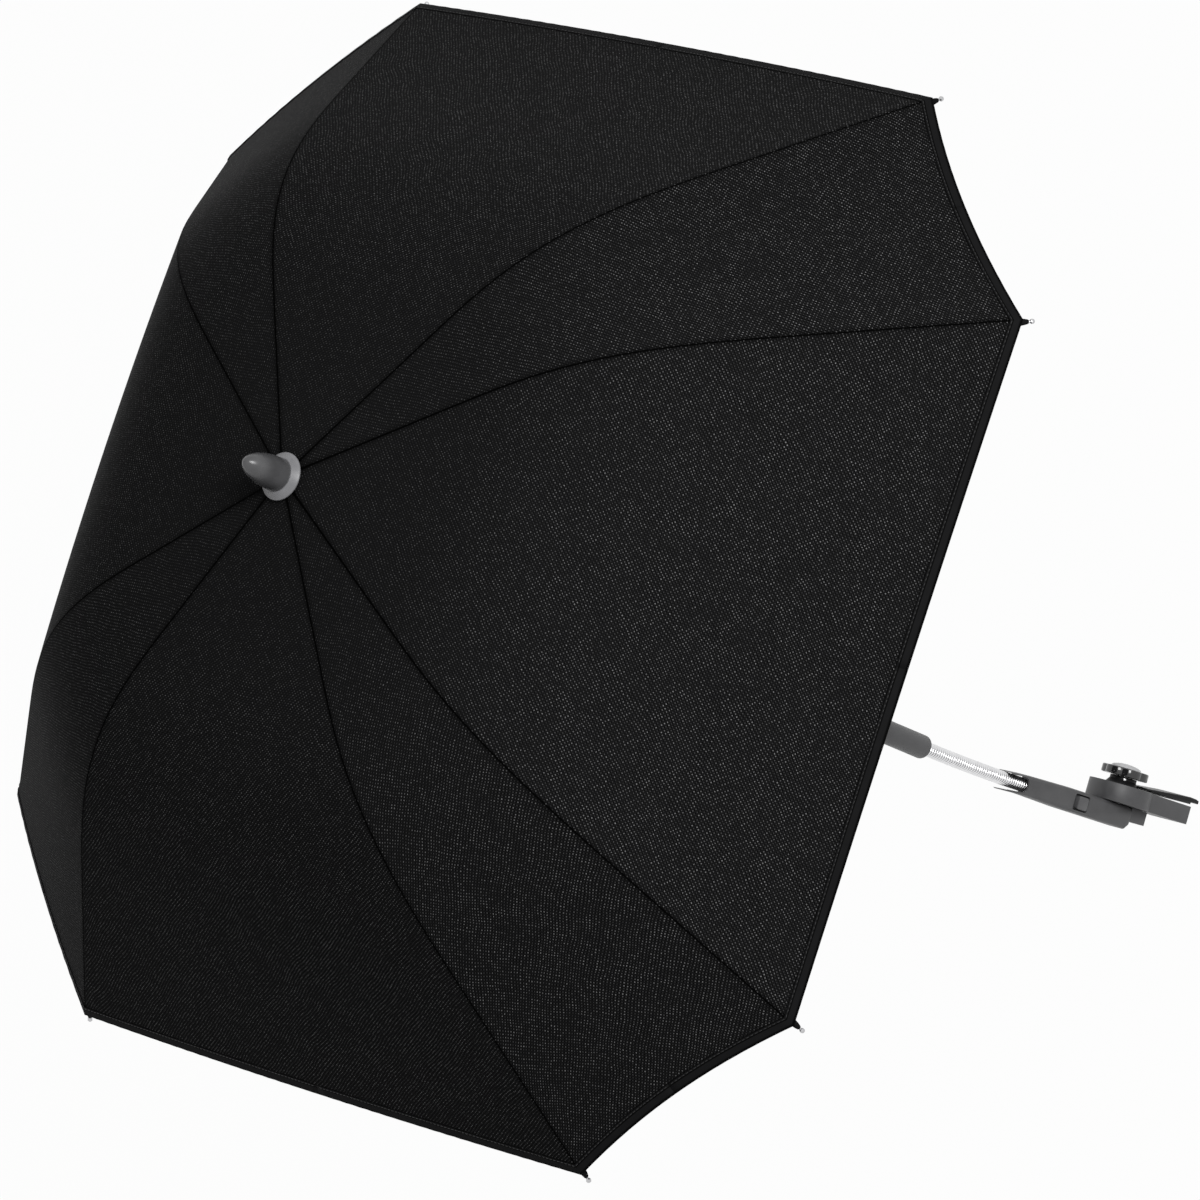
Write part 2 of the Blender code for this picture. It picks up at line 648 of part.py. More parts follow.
def build_canopy(hub, shades):
    rib_mesh = build_rib_meshes(shades)
    bracket_mesh = build_bracket_mesh(shades)
    stretcher_mesh = build_stretcher_mesh(shades)
    tip_mesh = build_tip_mesh()
    end_x, end_z, end_angle = rib_station(CORNER_RADIUS)
    for number, azimuth in enumerate(AZIMUTHS):
        name = RIB_NAMES[number]
        spot = (PIVOT_X * math.cos(azimuth), PIVOT_X * math.sin(azimuth), PIVOT_Z)
        rib = place(f"rib_{name}", rib_mesh, shades["steel"], hub, spot, (0, 0, azimuth))
        joint = (JOINT_X - PIVOT_X, 0, JOINT_Z - PIVOT_Z)
        place(f"rib_bracket_{name}", bracket_mesh, shades["steel"], rib, joint)
        place(f"stretcher_{name}", stretcher_mesh, shades["steel"], rib, joint)
        place(f"rib_tip_{name}", tip_mesh, shades["chrome"], rib,
              (end_x - PIVOT_X, 0, end_z - PIVOT_Z), (0, -end_angle, 0))
        build_gore(number, shades, rib)


def neck_point(distance):
    """Centre line of the gooseneck: straight into both sockets, one slow bend between."""
    if distance <= 0:
        return Vector((0, 0, NECK_TOP - distance)), 0.0
    if distance >= NECK_LENGTH:
        past = distance - NECK_LENGTH
        return Vector((HANDLE_X + past * math.sin(NECK_BEND), 0,
                       HANDLE_Z - past * math.cos(NECK_BEND))), NECK_BEND
    angle = distance / BEND_RADIUS
    side = BEND_RADIUS * (1 - math.cos(angle))
    return Vector((side, 0, NECK_TOP - BEND_RADIUS * math.sin(angle))), angle


def curve_tube(name, points, radius, resolution, shade, parent):
    line = bpy.data.curves.new(name, "CURVE")
    line.dimensions = "3D"
    line.bevel_depth = radius
    line.bevel_resolution = resolution
    line.use_fill_caps = True
    spline = line.splines.new("POLY")
    spline.points.add(len(points) - 1)
    for slot, point in zip(spline.points, points):
        slot.co = (*point, 1.0)
    line.materials.append(shade)
    thing = bpy.data.objects.new(name, line)
    bpy.context.scene.collection.objects.link(thing)
    thing.parent = parent
    return thing


def coil_points():
    """One unbroken wire: straight end, close turns down the neck, straight end."""
    wire = COIL_WIRE
    first = wire
    last = NECK_LENGTH - GAP - wire
    turns = int((last - first) / COIL_PITCH)
    pitch = (last - first) / turns
    per_turn = 8

    def at(distance, turn):
        centre, angle = neck_point(distance)
        side = Vector((math.cos(angle), 0, math.sin(angle)))
        return centre + COIL_RADIUS * (side * math.cos(turn) + Vector((0, 1, 0)) * math.sin(turn))

    points = [at(0, 0)]
    points += [at(first + pitch * i / per_turn, 2 * math.pi * i / per_turn)
               for i in range(turns * per_turn + 1)]
    points.append(at(last + wire, 0))
    count = len(points)
    least = min((points[i] - points[k]).length
                for i in range(count) for k in range(i + per_turn - 1, min(i + per_turn + 2, count)))
    print(f"gooseneck: {turns} turns, least gap between turns {1000 * (least - wire):.2f} mm")
    return points


def build_neck(hub, shades):
    bore = SHAFT_RADIUS + GAP
    top = -(SLEEVE_END - SLEEVE_LENGTH)
    bottom = -SLEEVE_END
    step = top - SHAFT_IN_SLEEVE - GAP
    core = COIL_RADIUS - COIL_WIRE / 2 - GAP
    rim = SLEEVE_RADIUS - SLEEVE_ROUND
    profile = [(bore, top), (rim, top), (SLEEVE_RADIUS, top - SLEEVE_ROUND)]
    profile += arc(rim, bottom + SLEEVE_ROUND, SLEEVE_ROUND, 0, -math.pi / 2, 2)
    profile += [(core + GAP, bottom), (core + GAP, step), (bore, step)]
    place("sleeve", turned(profile, 24, closed=True), shades["grip"], hub)
    curve_tube("gooseneck_coil", coil_points(), COIL_WIRE / 2, 1, shades["chrome"], hub)
    reach = min(CORE_DEPTH, SLEEVE_LENGTH - SHAFT_IN_SLEEVE - 2 * GAP)
    pieces = 12
    points = [neck_point(-reach)[0]]
    points += [neck_point(NECK_LENGTH * i / pieces)[0] for i in range(pieces + 1)]
    points.append(neck_point(NECK_LENGTH + CORE_DEPTH)[0])
    curve_tube("gooseneck_core", points, core, 2, shades["black"], hub)


def bar_outline():
    """Front outline of the bar as (x, z), prongs at the top and a rounded foot."""
    lean = math.tan(NECK_BEND)
    top = PRONG_LENGTH
    foot = -BAR_LENGTH
    knee = -(BAR_TAPER_LENGTH)
    tip = BAR_TOP_HALF - PRONG_TAPER
    points = [(tip - lean * top, top), (BAR_TOP_HALF, 0), (BAR_HALF, knee)]
    points += arc(BAR_HALF - FOOT_ROUND, foot + FOOT_ROUND, FOOT_ROUND, 0, -math.pi / 2, 3)
    points += [(-BAR_HALF + FOOT_CHAMFER, foot), (-BAR_HALF, foot + FOOT_CHAMFER)]
    points += [(-BAR_HALF, knee), (-BAR_TOP_HALF, 0), (-tip - lean * top, top)]
    return points


def build_handle(handle, shades):
    depth = BAR_DEPTH_HALF
    bar = place("handle_bar", slab(bar_outline(), -depth, depth, "Y"), shades["grip"], handle)
    rounded(bar, BAR_ROUND, 2, 60.0)
    lean = math.tan(NECK_BEND)
    wall = BAR_TOP_HALF - PRONG_WALL
    top = PRONG_LENGTH + PAST
    tip = wall + PRONG_TAPER
    pocket = slab([(wall, -POCKET_DEPTH), (wall, 0), (tip - lean * top, top), (-tip - lean * top, top),
                   (-wall, 0), (-wall, -POCKET_DEPTH)], FRONT_WALL - depth, depth + PAST, "Y")
    mouth = arc(0, MOUTH_RADIUS, MOUTH_RADIUS, math.pi, 2 * math.pi, 10)
    mouth += [(MOUTH_RADIUS - lean * top, top), (-MOUTH_RADIUS - lean * top, top)]
    core = COIL_RADIUS - COIL_WIRE / 2
    socket = tube_cutter(core, 2 * (CORE_DEPTH + GAP + POCKET_DEPTH), 16)
    window = slab(rounded_box(WINDOW_WIDTH / 2, WINDOW_HEIGHT / 2, WINDOW_CORNER, 0, -WINDOW_DROP),
                  -depth - PAST, 0, "Y")
    below = -BAR_LENGTH - PAST
    cavity = box(-CAVITY_HALF, CAVITY_HALF, -CAVITY_DEPTH_HALF, CAVITY_DEPTH_HALF, below, -CAVITY_TOP)
    slot = BOSS_RADIUS + RUN
    way = arc(0, -SWIVEL_DROP, slot, 0, math.pi, 8) + [(-slot, below), (slot, below)]
    cut(bar, pocket, slab(mouth, -depth - PAST, 0, "Y"), socket, cavity, window,
        slab(way, 0, BAR_HALF + PAST, "X"))

    low = -WINDOW_DROP - BUTTON_OFFSET
    outline = rounded_box(BUTTON_WIDTH / 2, BUTTON_HEIGHT / 2, BUTTON_CORNER, 0, low)
    face = -(depth + BUTTON_PROUD)
    tongue_face = CAVITY_DEPTH_HALF - GAP
    button_back = -tongue_face + BUTTON_DEPTH
    button = place("push_button", slab(outline, face, button_back, "Y"), shades["button"], handle)
    rounded(button, BUTTON_ROUND, 2, 60.0)

    half = CAVITY_HALF - GAP
    end = -BAR_LENGTH - GAP
    tip = end - TONGUE_END
    neck = DRUM_BOTTOM - GAP
    top = -CAVITY_TOP - GAP
    back = neck - TONGUE_END_DEPTH
    outline = [(half, top), (half, end), (neck, end), (neck, tip), (back, tip), (back, end),
               (-half, end), (-half, top)]
    tongue = place("swivel_tongue", slab(outline, -tongue_face, tongue_face, "Y"), shades["grip"], handle)
    boss = along_x(turned([(0, neck), (BOSS_RADIUS, neck), (BOSS_RADIUS, 0), (0, 0)], 24), 0, -SWIVEL_DROP)
    join(tongue, boss)
    shaft_hole = along_x(tube_cutter(SCREW_RADIUS + GAP, 4 * BAR_HALF, 20), 0, -SWIVEL_DROP)
    nest = slab(rounded_box(BUTTON_WIDTH / 2 + GAP, BUTTON_HEIGHT / 2 + GAP, BUTTON_CORNER, 0, low),
                -tongue_face - PAST, button_back + BUTTON_TRAVEL + GAP, "Y")
    cut(tongue, shaft_hole, nest)


def rounded_box(half_x, half_z, radius, x, z):
    points = []
    for turn, (sx, sz) in enumerate(((1, 1), (-1, 1), (-1, -1), (1, -1))):
        cx = x + sx * (half_x - radius)
        cz = z + sz * (half_z - radius)
        points += arc(cx, cz, radius, turn * math.pi / 2, (turn + 1) * math.pi / 2, 3)
    return points


def build_clamp(handle, shades):
    centre = -SWIVEL_DROP
    drum = along_x(turned([(0, DRUM_TOP), (DRUM_RADIUS, DRUM_TOP), (DRUM_RADIUS, DRUM_BOTTOM),
                           (0, DRUM_BOTTOM)], 48), 0, centre)
    body = place("clamp_body", drum, shades["grip"], handle)
    width = ARM_HALF_WIDTH
    corner = ARM_END + ARM_CHAMFER
    flat = width - ARM_CHAMFER
    arm = slab([(width, centre), (-width, centre), (-width, corner), (-flat, ARM_END), (flat, ARM_END),
                (width, corner)], DRUM_BOTTOM, DRUM_TOP, "X")
    join(body, arm)
    cut(body, along_x(tube_cutter(SCREW_RADIUS + GAP, 4 * DRUM_TOP, 20), 0, centre))

    seat = DRUM_TOP + GAP
    collar_top = seat + COLLAR_HEIGHT
    collar = along_x(turned([(0, collar_top), (COLLAR_TOP_RADIUS, collar_top),
                             (COLLAR_TOP_RADIUS, collar_top - COLLAR_HEIGHT * 0.4),
                             (COLLAR_BASE_RADIUS, seat), (0, seat)], SIDES), 0, centre)
    jaw = place("moving_jaw", collar, shades["black"], handle)
    under = DRUM_TOP + JAW_GAP
    start = centre - COLLAR_BASE_RADIUS * 0.5
    tip = ARM_END - JAW_OVERHANG
    notch = ARM_END + HOOK_INSET
    lip = under + JAW_TIP / 2
    hook = arc(notch - HOOK_RADIUS, under, HOOK_RADIUS, 0, math.pi / 2, 4)
    outline = [(under, start), (under, notch)]
    outline += [(x, z) for z, x in hook[1:] if x < lip]
    outline += [(lip, tip + JAW_LIP), (lip - JAW_LIP / 2, tip), (under + JAW_TIP - JAW_LIP / 2, tip),
                (under + JAW_TIP, tip + JAW_NOSE), (under + JAW_TIP + GAP, tip + JAW_BULGE),
                (under + JAW_TIP - GAP, tip + JAW_SHOULDER),
                (under + JAW_ROOT, centre - COLLAR_BASE_RADIUS), (under + JAW_ROOT, start)]
    width = JAW_HALF_WIDTH
    join(jaw, slab(outline, -width, width, "Y"))
    cut(jaw, along_x(tube_cutter(SCREW_RADIUS + GAP, 4 * collar_top, 20), 0, centre))
    # A small pin end shows on the side of the collar.
    deep = COLLAR_TOP_RADIUS - PIN_DEPTH
    height = collar_top - COLLAR_HEIGHT * 0.3
    spot = Matrix.Translation((height, 0, centre)) @ Matrix.Rotation(PIN_ANGLE, 4, "X")
    lay = spot @ Matrix.Rotation(math.pi / 2, 4, "X")
    hole = turned([(0, COLLAR_BASE_RADIUS), (PIN_RADIUS + GAP, COLLAR_BASE_RADIUS),
                   (PIN_RADIUS + GAP, deep), (0, deep)], 12)
    hole.transform(lay)
    cut(jaw, hole)
    pin = turned([(0, COLLAR_TOP_RADIUS + GAP), (PIN_RADIUS, COLLAR_TOP_RADIUS),
                  (PIN_RADIUS, deep + GAP), (0, deep + GAP)], 12)
    pin.transform(lay)
    place("collar_pin", pin, shades["steel"], handle)

    foot = collar_top + GAP
    face = foot + KNOB_HEIGHT
    steps = KNOB_LOBES * 8
    outline = []
    for i in range(steps):
        turn = 2 * math.pi * i / steps
        radius = KNOB_RADIUS - KNOB_WAVE * (1 - abs(math.cos(KNOB_LOBES * turn / 2))) ** 1.3
        outline.append((radius * math.cos(turn), radius * math.sin(turn)))
    star = slab(outline, foot, face)
    screw_end = foot + SCREW_IN_KNOB
    knob = place("star_knob", along_x(star), shades["gloss"], handle, (0, 0, centre))
    rounded(knob, KNOB_ROUND, 2, 60.0)
    cut(knob, along_x(turned([(0, screw_end + GAP), (SCREW_RADIUS + GAP, screw_end + GAP),
                              (SCREW_RADIUS + GAP, 0), (0, 0)], 20)))
    dome = [(CAP_RADIUS * math.sin(a), face + GAP + CAP_HEIGHT * math.cos(a))
            for a in (math.pi / 8 * i for i in range(1, 4))]
    dome = [(0, face + GAP + CAP_HEIGHT)] + dome + [(CAP_RADIUS, face + GAP), (0, face + GAP)]
    place("knob_cap", along_x(turned(dome, SIDES)), shades["cap"], handle, (0, 0, centre))
    start = screw_end - SCREW_LENGTH
    rod = [(0, screw_end), (SCREW_RADIUS, screw_end), (SCREW_RADIUS, start + SCREW_CHAMFER),
           (SCREW_RADIUS - SCREW_CHAMFER, start), (0, start)]
    place("clamp_screw", along_x(turned(rod, 20)), shades["steel"], handle, (0, 0, centre))


def build():
    for thing in list(bpy.data.objects):
        bpy.data.objects.remove(thing)
    shades = {
        "cloth": material("black cloth", (0.012, 0.012, 0.013), 0.85),
        "grip": material("dark grey plastic", (0.075, 0.075, 0.078), 0.5),
        "washer": material("light grey plastic", (0.24, 0.24, 0.25), 0.45),
        "black": material("black plastic", (0.02, 0.02, 0.021), 0.45),
        "gloss": material("glossy black plastic", (0.018, 0.018, 0.02), 0.15),
        "button": material("button plastic", (0.10, 0.10, 0.104), 0.45),
        "cap": material("cap plastic", (0.62, 0.62, 0.63), 0.35),
        "steel": material("bright steel", (0.55, 0.55, 0.56), 0.3, 1.0),
        "chrome": material("chrome", (0.72, 0.72, 0.73), 0.15, 1.0),
    }
    hub = empty("hub", None, (-ORIGIN_X, 0, -ORIGIN_Z))
    handle = empty("handle_frame", hub, (ZERO_X, 0, ZERO_Z), (0, -NECK_BEND, 0))
    build_top(hub, shades)
    build_shaft(hub, shades)
    build_canopy(hub, shades)
    build_neck(hub, shades)
    build_handle(handle, shades)
    build_clamp(handle, shades)


build()
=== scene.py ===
import math

import bmesh
import bpy
from mathutils import Matrix, Vector


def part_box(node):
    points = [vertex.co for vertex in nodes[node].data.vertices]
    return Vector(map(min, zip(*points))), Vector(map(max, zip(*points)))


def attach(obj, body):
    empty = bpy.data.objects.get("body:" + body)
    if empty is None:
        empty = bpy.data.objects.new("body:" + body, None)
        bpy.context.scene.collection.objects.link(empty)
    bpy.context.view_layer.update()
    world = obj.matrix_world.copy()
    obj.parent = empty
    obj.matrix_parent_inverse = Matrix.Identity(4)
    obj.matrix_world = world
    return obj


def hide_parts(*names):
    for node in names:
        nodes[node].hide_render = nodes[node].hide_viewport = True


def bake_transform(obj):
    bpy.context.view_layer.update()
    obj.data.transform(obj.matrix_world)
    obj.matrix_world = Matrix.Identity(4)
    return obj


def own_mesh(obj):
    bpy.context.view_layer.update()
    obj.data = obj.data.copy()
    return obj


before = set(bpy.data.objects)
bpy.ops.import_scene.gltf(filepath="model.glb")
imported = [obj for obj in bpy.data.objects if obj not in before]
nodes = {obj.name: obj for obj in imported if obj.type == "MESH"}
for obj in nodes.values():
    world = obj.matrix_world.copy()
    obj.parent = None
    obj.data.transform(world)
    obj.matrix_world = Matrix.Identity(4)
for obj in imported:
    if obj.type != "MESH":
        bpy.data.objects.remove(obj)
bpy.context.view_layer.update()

# Canopy, as the solids have it
HALF_WIDTH = 0.350
HALF_SIDE = 0.2254
SLOPE_TOP = math.tan(math.radians(6.28))
SLOPE_EDGE = math.tan(math.radians(44.13))
BEND_START = 0.130
BEND_END = 0.320
HEM_CUT_WIDE = 0.001
HEM_CUT_NARROW = 0.0065
PANEL_SWELL = 0.0045
SWELL_TILT = math.radians(44.0)
CLOTH_GAP = 0.0003
CLOTH_HOLE = 0.0072
CORNER_RADIUS = math.hypot(HALF_WIDTH, HALF_SIDE)
CORNER_AZIMUTH = math.atan2(HALF_SIDE, HALF_WIDTH)
AZIMUTHS = [quarter * math.pi / 2 + side * CORNER_AZIMUTH for quarter in range(4) for side in (-1, 1)]

# Cloth, hem and stitching
CLOTH = 0.0005
SEAM_DEPTH = 0.0007
SEAM_COLUMNS = (0.0, 0.0004, 0.0010, 0.0022)
PANEL_COLUMNS = 11
CLOTH_ROWS = 72
SEAM_REACH = 0.12
SLOPE_STEP = 0.002
HEM_WIDTH = 0.0078
HEM_FOLD = 0.0004
HEM_STEP = 0.006
HEM_INSIDE = 0.985
RIPPLE_HEIGHT = 0.00012
RIPPLE_LENGTH = 0.011
STITCH_LINE = 0.0064
STITCH_LENGTH = 0.0021
STITCH_PITCH = 0.0031
STITCH_RADIUS = 0.00024
STITCH_RINGS = ((-0.5, 0.3), (-0.3, 1.0), (0.3, 1.0), (0.5, 0.3))
STITCH_SIDES = 6
STITCH_SUNK = 0.3

# Pocket over a rib's end: distance in from the middle of the tip's ball, radius
POCKET = ((0.0021, 0.0011), (0.0024, 0.0014), (0.0045, 0.0019), (0.0075, 0.0023), (0.0105, 0.0023))
TIP_SLOPE = math.atan(SLOPE_EDGE)

# Weave: threads 1.35 mm apart both ways, seen as rows on the bias
WEAVE_PITCH = 0.0027
WEAVE_ROWS = 0.34
WEAVE_LINES = 0.06
WEAVE_CROSSINGS = 0.60
THREADS_STRAY = ((25.0, 0.006), (300.0, 0.0009))
# Painted glints on raised crossings, a random few brighter, and painted shade in the low places between
# threads
GLINT_HEIGHT = (0.22, 0.95)
HOLE_SHADE_HEIGHT = (0.10, -0.70)
LUCK_POWER = 2.2
LUCK_SPREAD = 0.80
LUCK_LEAST = 0.13
PATCH_SHARE = 0.30
# Painted glints and shade between threads fade in towards the hub, in random patches
HUB_FADE = (0.04, 0.34, 0.34, 1.0)
# Painted shade along the seams: a dark core in the fold and a softer shade beside it
SEAM_SHADE_CORE = (0.0010, 0.0004)
SEAM_SHADE = (0.0040, 0.0, 0.0, 0.45)
# Colours: the cloth, painted shade between threads, painted glints, painted shade in seams and tape folds
CLOTH_MIDDLE = (0.0100, 0.0100, 0.0103)
CLOTH_HOLE_SHADE = (0.0012, 0.0012, 0.0013)
CLOTH_GLINTS = (0.290, 0.290, 0.292)
PAINTED_FOLD_SHADE = (0.0010, 0.0010, 0.0010)

# Hem tape: its threads along and across, then its lines of painted shade (rolled edge, sewn line, step onto
# the cloth) as distance in from the edge and half width
TAPE_THREADS = (0.0006, 0.0009)
TAPE_SHADE_LINES = ((0.0, 0.0019), (0.0056, 0.0006), (HEM_WIDTH, 0.0009))
TAPE_DARK = (0.0085, 0.0085, 0.0089)
TAPE_LIGHT = (0.0125, 0.0125, 0.0130)

# Moulded and plated surfaces: size of the marks as noise scale
PLASTIC_GRAIN = 5200.0
PLASTIC_RUBBING = 90.0
METAL_MARKS = 1800.0
METAL_PATCHES = 160.0
METAL_WEAR = 0.08

# Gooseneck, as the solids have it
NECK_LENGTH = 0.1215
NECK_BEND = math.radians(3.1)
COIL_RADIUS = 0.0040
COIL_WIRE = 0.00195
COIL_PITCH = 0.00243
COIL_STEPS = 20
CORE_DEPTH = 0.015
CORE_STEPS = 24
WIRE_SIDES = 10
ROUND_SIDES = 16

# CAD nodes that stay
SMOOTH_BELOW = math.radians(35)
BEVEL_ABOVE = math.radians(40)
WELD_GAP = 0.00001

# The camera, seen from the hub
CAMERA_FROM_HUB = Vector((-0.3757, -3.3432, 3.3650))
CAMERA_FORWARD = Vector((0.0767, 0.6708, -0.7377))
CAMERA_UP = Vector((0.9474, 0.1814, 0.2635))
LENS = 231.6
SENSOR = 36.0

# Key light as seen by the camera (back, right and up), floor and world
KEY_BACK = 2.7
KEY_RIGHT = 0.8
KEY_UP = 0.9
KEY_SIZE = 1.2
KEY_POWER = 62.0
FLOOR_HEIGHT = -0.75
FLOOR_HALF = 8.0
FLOOR_COLOUR = (0.75, 0.75, 0.75, 1.0)
FLOOR_WHITE = 0.97
WORLD_LIGHT = 0.28

washer_low, washer_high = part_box("ferrule_washer")
HUB = Vector(((washer_low.x + washer_high.x) / 2, (washer_low.y + washer_high.y) / 2,
              washer_low.z - CLOTH_GAP))

# Middle of a rib tip's ball: out from the hub's axis, up from the hub
tip_low, tip_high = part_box("rib_tip_1")
TIP_BALL_RADIUS = 0.00175
TIP_BALL_EDGE = (0.00195, 0.00185)
TIP_BALL = (math.hypot(tip_high.x - TIP_BALL_RADIUS - HUB.x, tip_low.y + TIP_BALL_RADIUS),
            tip_low.z + TIP_BALL_RADIUS - HUB.z)


# Node helpers

class Shade:
    """A material with a Principled shader and short calls for its nodes."""

    def __init__(self, name):
        self.material = bpy.data.materials.new(name)
        self.material.use_nodes = True
        self.tree = self.material.node_tree
        self.shader = self.tree.nodes["Principled BSDF"]

    def node(self, kind, **settings):
        made = self.tree.nodes.new(kind)
        for name, value in settings.items():
            setattr(made, name, value)
        return made

    def feed(self, socket, value):
        if isinstance(value, bpy.types.NodeSocket):
            self.tree.links.new(value, socket)
        elif isinstance(value, (tuple, list)) and len(value) == 3 and socket.type == "RGBA":
            socket.default_value = (*value, 1.0)
        else:
            socket.default_value = value

    def math(self, operation, a, b=0.0, clamp=False):
        made = self.node("ShaderNodeMath", operation=operation, use_clamp=clamp)
        self.feed(made.inputs[0], a)
        self.feed(made.inputs[1], b)
        return made.outputs[0]

    def mix(self, share, a, b):
        made = self.node("ShaderNodeMix", data_type="RGBA")
        self.feed(made.inputs["Factor"], share)
        self.feed(made.inputs["A"], a)
        self.feed(made.inputs["B"], b)
        return made.outputs["Result"]

    def ramp(self, value, low, high, out_low=0.0, out_high=1.0):
        made = self.node("ShaderNodeMapRange", interpolation_type="SMOOTHSTEP")
        limits = {"From Min": low, "From Max": high, "To Min": out_low, "To Max": out_high}
        for name, number in limits.items():
            made.inputs[name].default_value = number
        self.feed(made.inputs["Value"], value)
        return made.outputs["Result"]

    def noise(self, vector, scale, detail=3.0, roughness=0.5):
        made = self.node("ShaderNodeTexNoise")
        made.inputs["Scale"].default_value = scale
        made.inputs["Detail"].default_value = detail
        made.inputs["Roughness"].default_value = roughness
        self.feed(made.inputs["Vector"], vector)
        return made.outputs["Fac"]

    def uv(self, name):
        return self.node("ShaderNodeUVMap", uv_map=name).outputs["UV"]

    def place(self):
        return self.node("ShaderNodeTexCoord").outputs["Object"]

    def bump(self, height, distance, strength):
        made = self.node("ShaderNodeBump")
        made.inputs["Strength"].default_value = strength
        made.inputs["Distance"].default_value = distance
        self.feed(made.inputs["Height"], height)
        return made.outputs["Normal"]

    def set(self, **values):
        for name, value in values.items():
            self.feed(self.shader.inputs[name.replace("_", " ")], value)
        return self.material


# Materials

def wander(shade, vector, scale, amount):
    """The same place shifted a little, as threads stray."""
    noise = shade.node("ShaderNodeTexNoise")
    noise.inputs["Scale"].default_value = scale
    noise.inputs["Detail"].default_value = 2.0
    shade.feed(noise.inputs["Vector"], vector)
    moved = shade.node("ShaderNodeVectorMath", operation="MULTIPLY_ADD")
    shade.feed(moved.inputs[0], noise.outputs["Color"])
    moved.inputs[1].default_value = (amount, amount, 0.0)
    shade.feed(moved.inputs[2], vector)
    return moved.outputs[0]


def weave(shade, u, v):
    """Plain weave: its height, high where a thread lies on top, and a chance for each crossing."""
    turn = math.tau / WEAVE_PITCH
    rows = shade.math("COSINE", shade.math("MULTIPLY", shade.math("ADD", u, v), turn))
    lines = shade.math("COSINE", shade.math("MULTIPLY", shade.math("SUBTRACT", v, u), turn))
    both = shade.math("MULTIPLY", shade.math("MULTIPLY", rows, lines), WEAVE_CROSSINGS)
    height = shade.math("ADD", shade.math("MULTIPLY", rows, WEAVE_ROWS),
                        shade.math("MULTIPLY", lines, WEAVE_LINES))
    cell = shade.node("ShaderNodeCombineXYZ")
    for socket, value in zip(cell.inputs, (u, v)):
        shade.feed(socket, shade.math("ROUND", shade.math("MULTIPLY", value, 2 / WEAVE_PITCH)))
    chance = shade.node("ShaderNodeTexWhiteNoise", noise_dimensions="2D")
    shade.feed(chance.inputs["Vector"], cell.outputs[0])
    return shade.math("ADD", height, both), chance.outputs["Value"]


def cloth_material():
    """Black plain weave: painted glints on some crossings and painted shade between threads, both stronger
    away from the hub, and painted shade along the seams.
    """
    shade = Shade("woven black cloth")
    spot = shade.uv("cloth")
    for scale, amount in THREADS_STRAY:
        spot = wander(shade, spot, scale, amount)
    split = shade.node("ShaderNodeSeparateXYZ")
    shade.feed(split.inputs[0], spot)
    height, chance = weave(shade, split.outputs[0], split.outputs[1])
    ends = shade.node("ShaderNodeSeparateXYZ")
    shade.feed(ends.inputs[0], shade.uv("seam"))
    # Painted glints and shade between threads grow from the hub outwards, in random patches
    out = shade.ramp(ends.outputs[1], *HUB_FADE)
    patches = shade.ramp(shade.noise(shade.uv("cloth"), 60.0, 4.0, 0.6), 0.34, 0.62)
    patched = shade.math("ADD", shade.math("MULTIPLY", patches, PATCH_SHARE), 1 - PATCH_SHARE)
    painted_light_strength = shade.math("MULTIPLY", patched, out)
    # Painted glints on raised crossings, a random few brighter
    luck = shade.math("MULTIPLY", shade.math("POWER", chance, LUCK_POWER), LUCK_SPREAD)
    luck = shade.math("ADD", luck, LUCK_LEAST)
    glints = shade.math("MULTIPLY", shade.ramp(height, *GLINT_HEIGHT), luck)
    glints = shade.math("MULTIPLY", glints, painted_light_strength, clamp=True)
    # Painted shade in the low places between threads
    hole_shade = shade.math("MULTIPLY", shade.ramp(height, *HOLE_SHADE_HEIGHT), painted_light_strength, clamp=True)
    base = shade.mix(hole_shade, CLOTH_MIDDLE, CLOTH_HOLE_SHADE)
    base = shade.mix(glints, base, CLOTH_GLINTS)
    # Painted shade: a dark line in each seam's fold and a softer shade beside it
    fold_shade = shade.ramp(ends.outputs[0], *SEAM_SHADE_CORE)
    near = shade.ramp(ends.outputs[0], *SEAM_SHADE)
    base = shade.mix(shade.math("MAXIMUM", fold_shade, near), base, PAINTED_FOLD_SHADE)
    bump = shade.bump(height, 0.00010, 0.7)
    return shade.set(Base_Color=base, Roughness=0.55, Normal=bump, IOR=1.04)


def binding_material():
    """Plain black tape with a fine weave: painted shade at its rolled edge, at the sewn line and where it
    meets the cloth.
    """
    shade = Shade("black hem binding")
    split = shade.node("ShaderNodeSeparateXYZ")
    shade.feed(split.inputs[0], shade.uv("cloth"))
    u, v = split.outputs[0], split.outputs[1]
    along, across = (shade.math("SINE", shade.math("MULTIPLY", value, math.tau / pitch))
                     for value, pitch in zip((u, v), TAPE_THREADS))
    threads = shade.math("ADD", shade.math("MULTIPLY", shade.math("MULTIPLY", along, across), 0.5), 0.5)
    soft = shade.noise(shade.uv("cloth"), 120.0, 3.0)
    base = shade.mix(soft, TAPE_DARK, TAPE_LIGHT)
    # Painted shade at the tape's rolled edge, at its sewn line and where it steps onto the cloth
    for place, reach in TAPE_SHADE_LINES:
        away = shade.math("ABSOLUTE", shade.math("SUBTRACT", v, place))
        base = shade.mix(shade.ramp(away, reach, reach * 0.3), base, PAINTED_FOLD_SHADE)
    bump = shade.bump(threads, 0.00005, 0.6)
    return shade.set(Base_Color=base, Roughness=0.7, Normal=bump, IOR=1.10)


def thread_material():
    shade = Shade("black sewing thread")
    spin = shade.noise(shade.place(), 4000.0, 2.0)
    base = shade.mix(spin, (0.003, 0.003, 0.0032), (0.008, 0.008, 0.0083))
    return shade.set(Base_Color=base, Roughness=0.5, Normal=shade.bump(spin, 0.00005, 0.5))


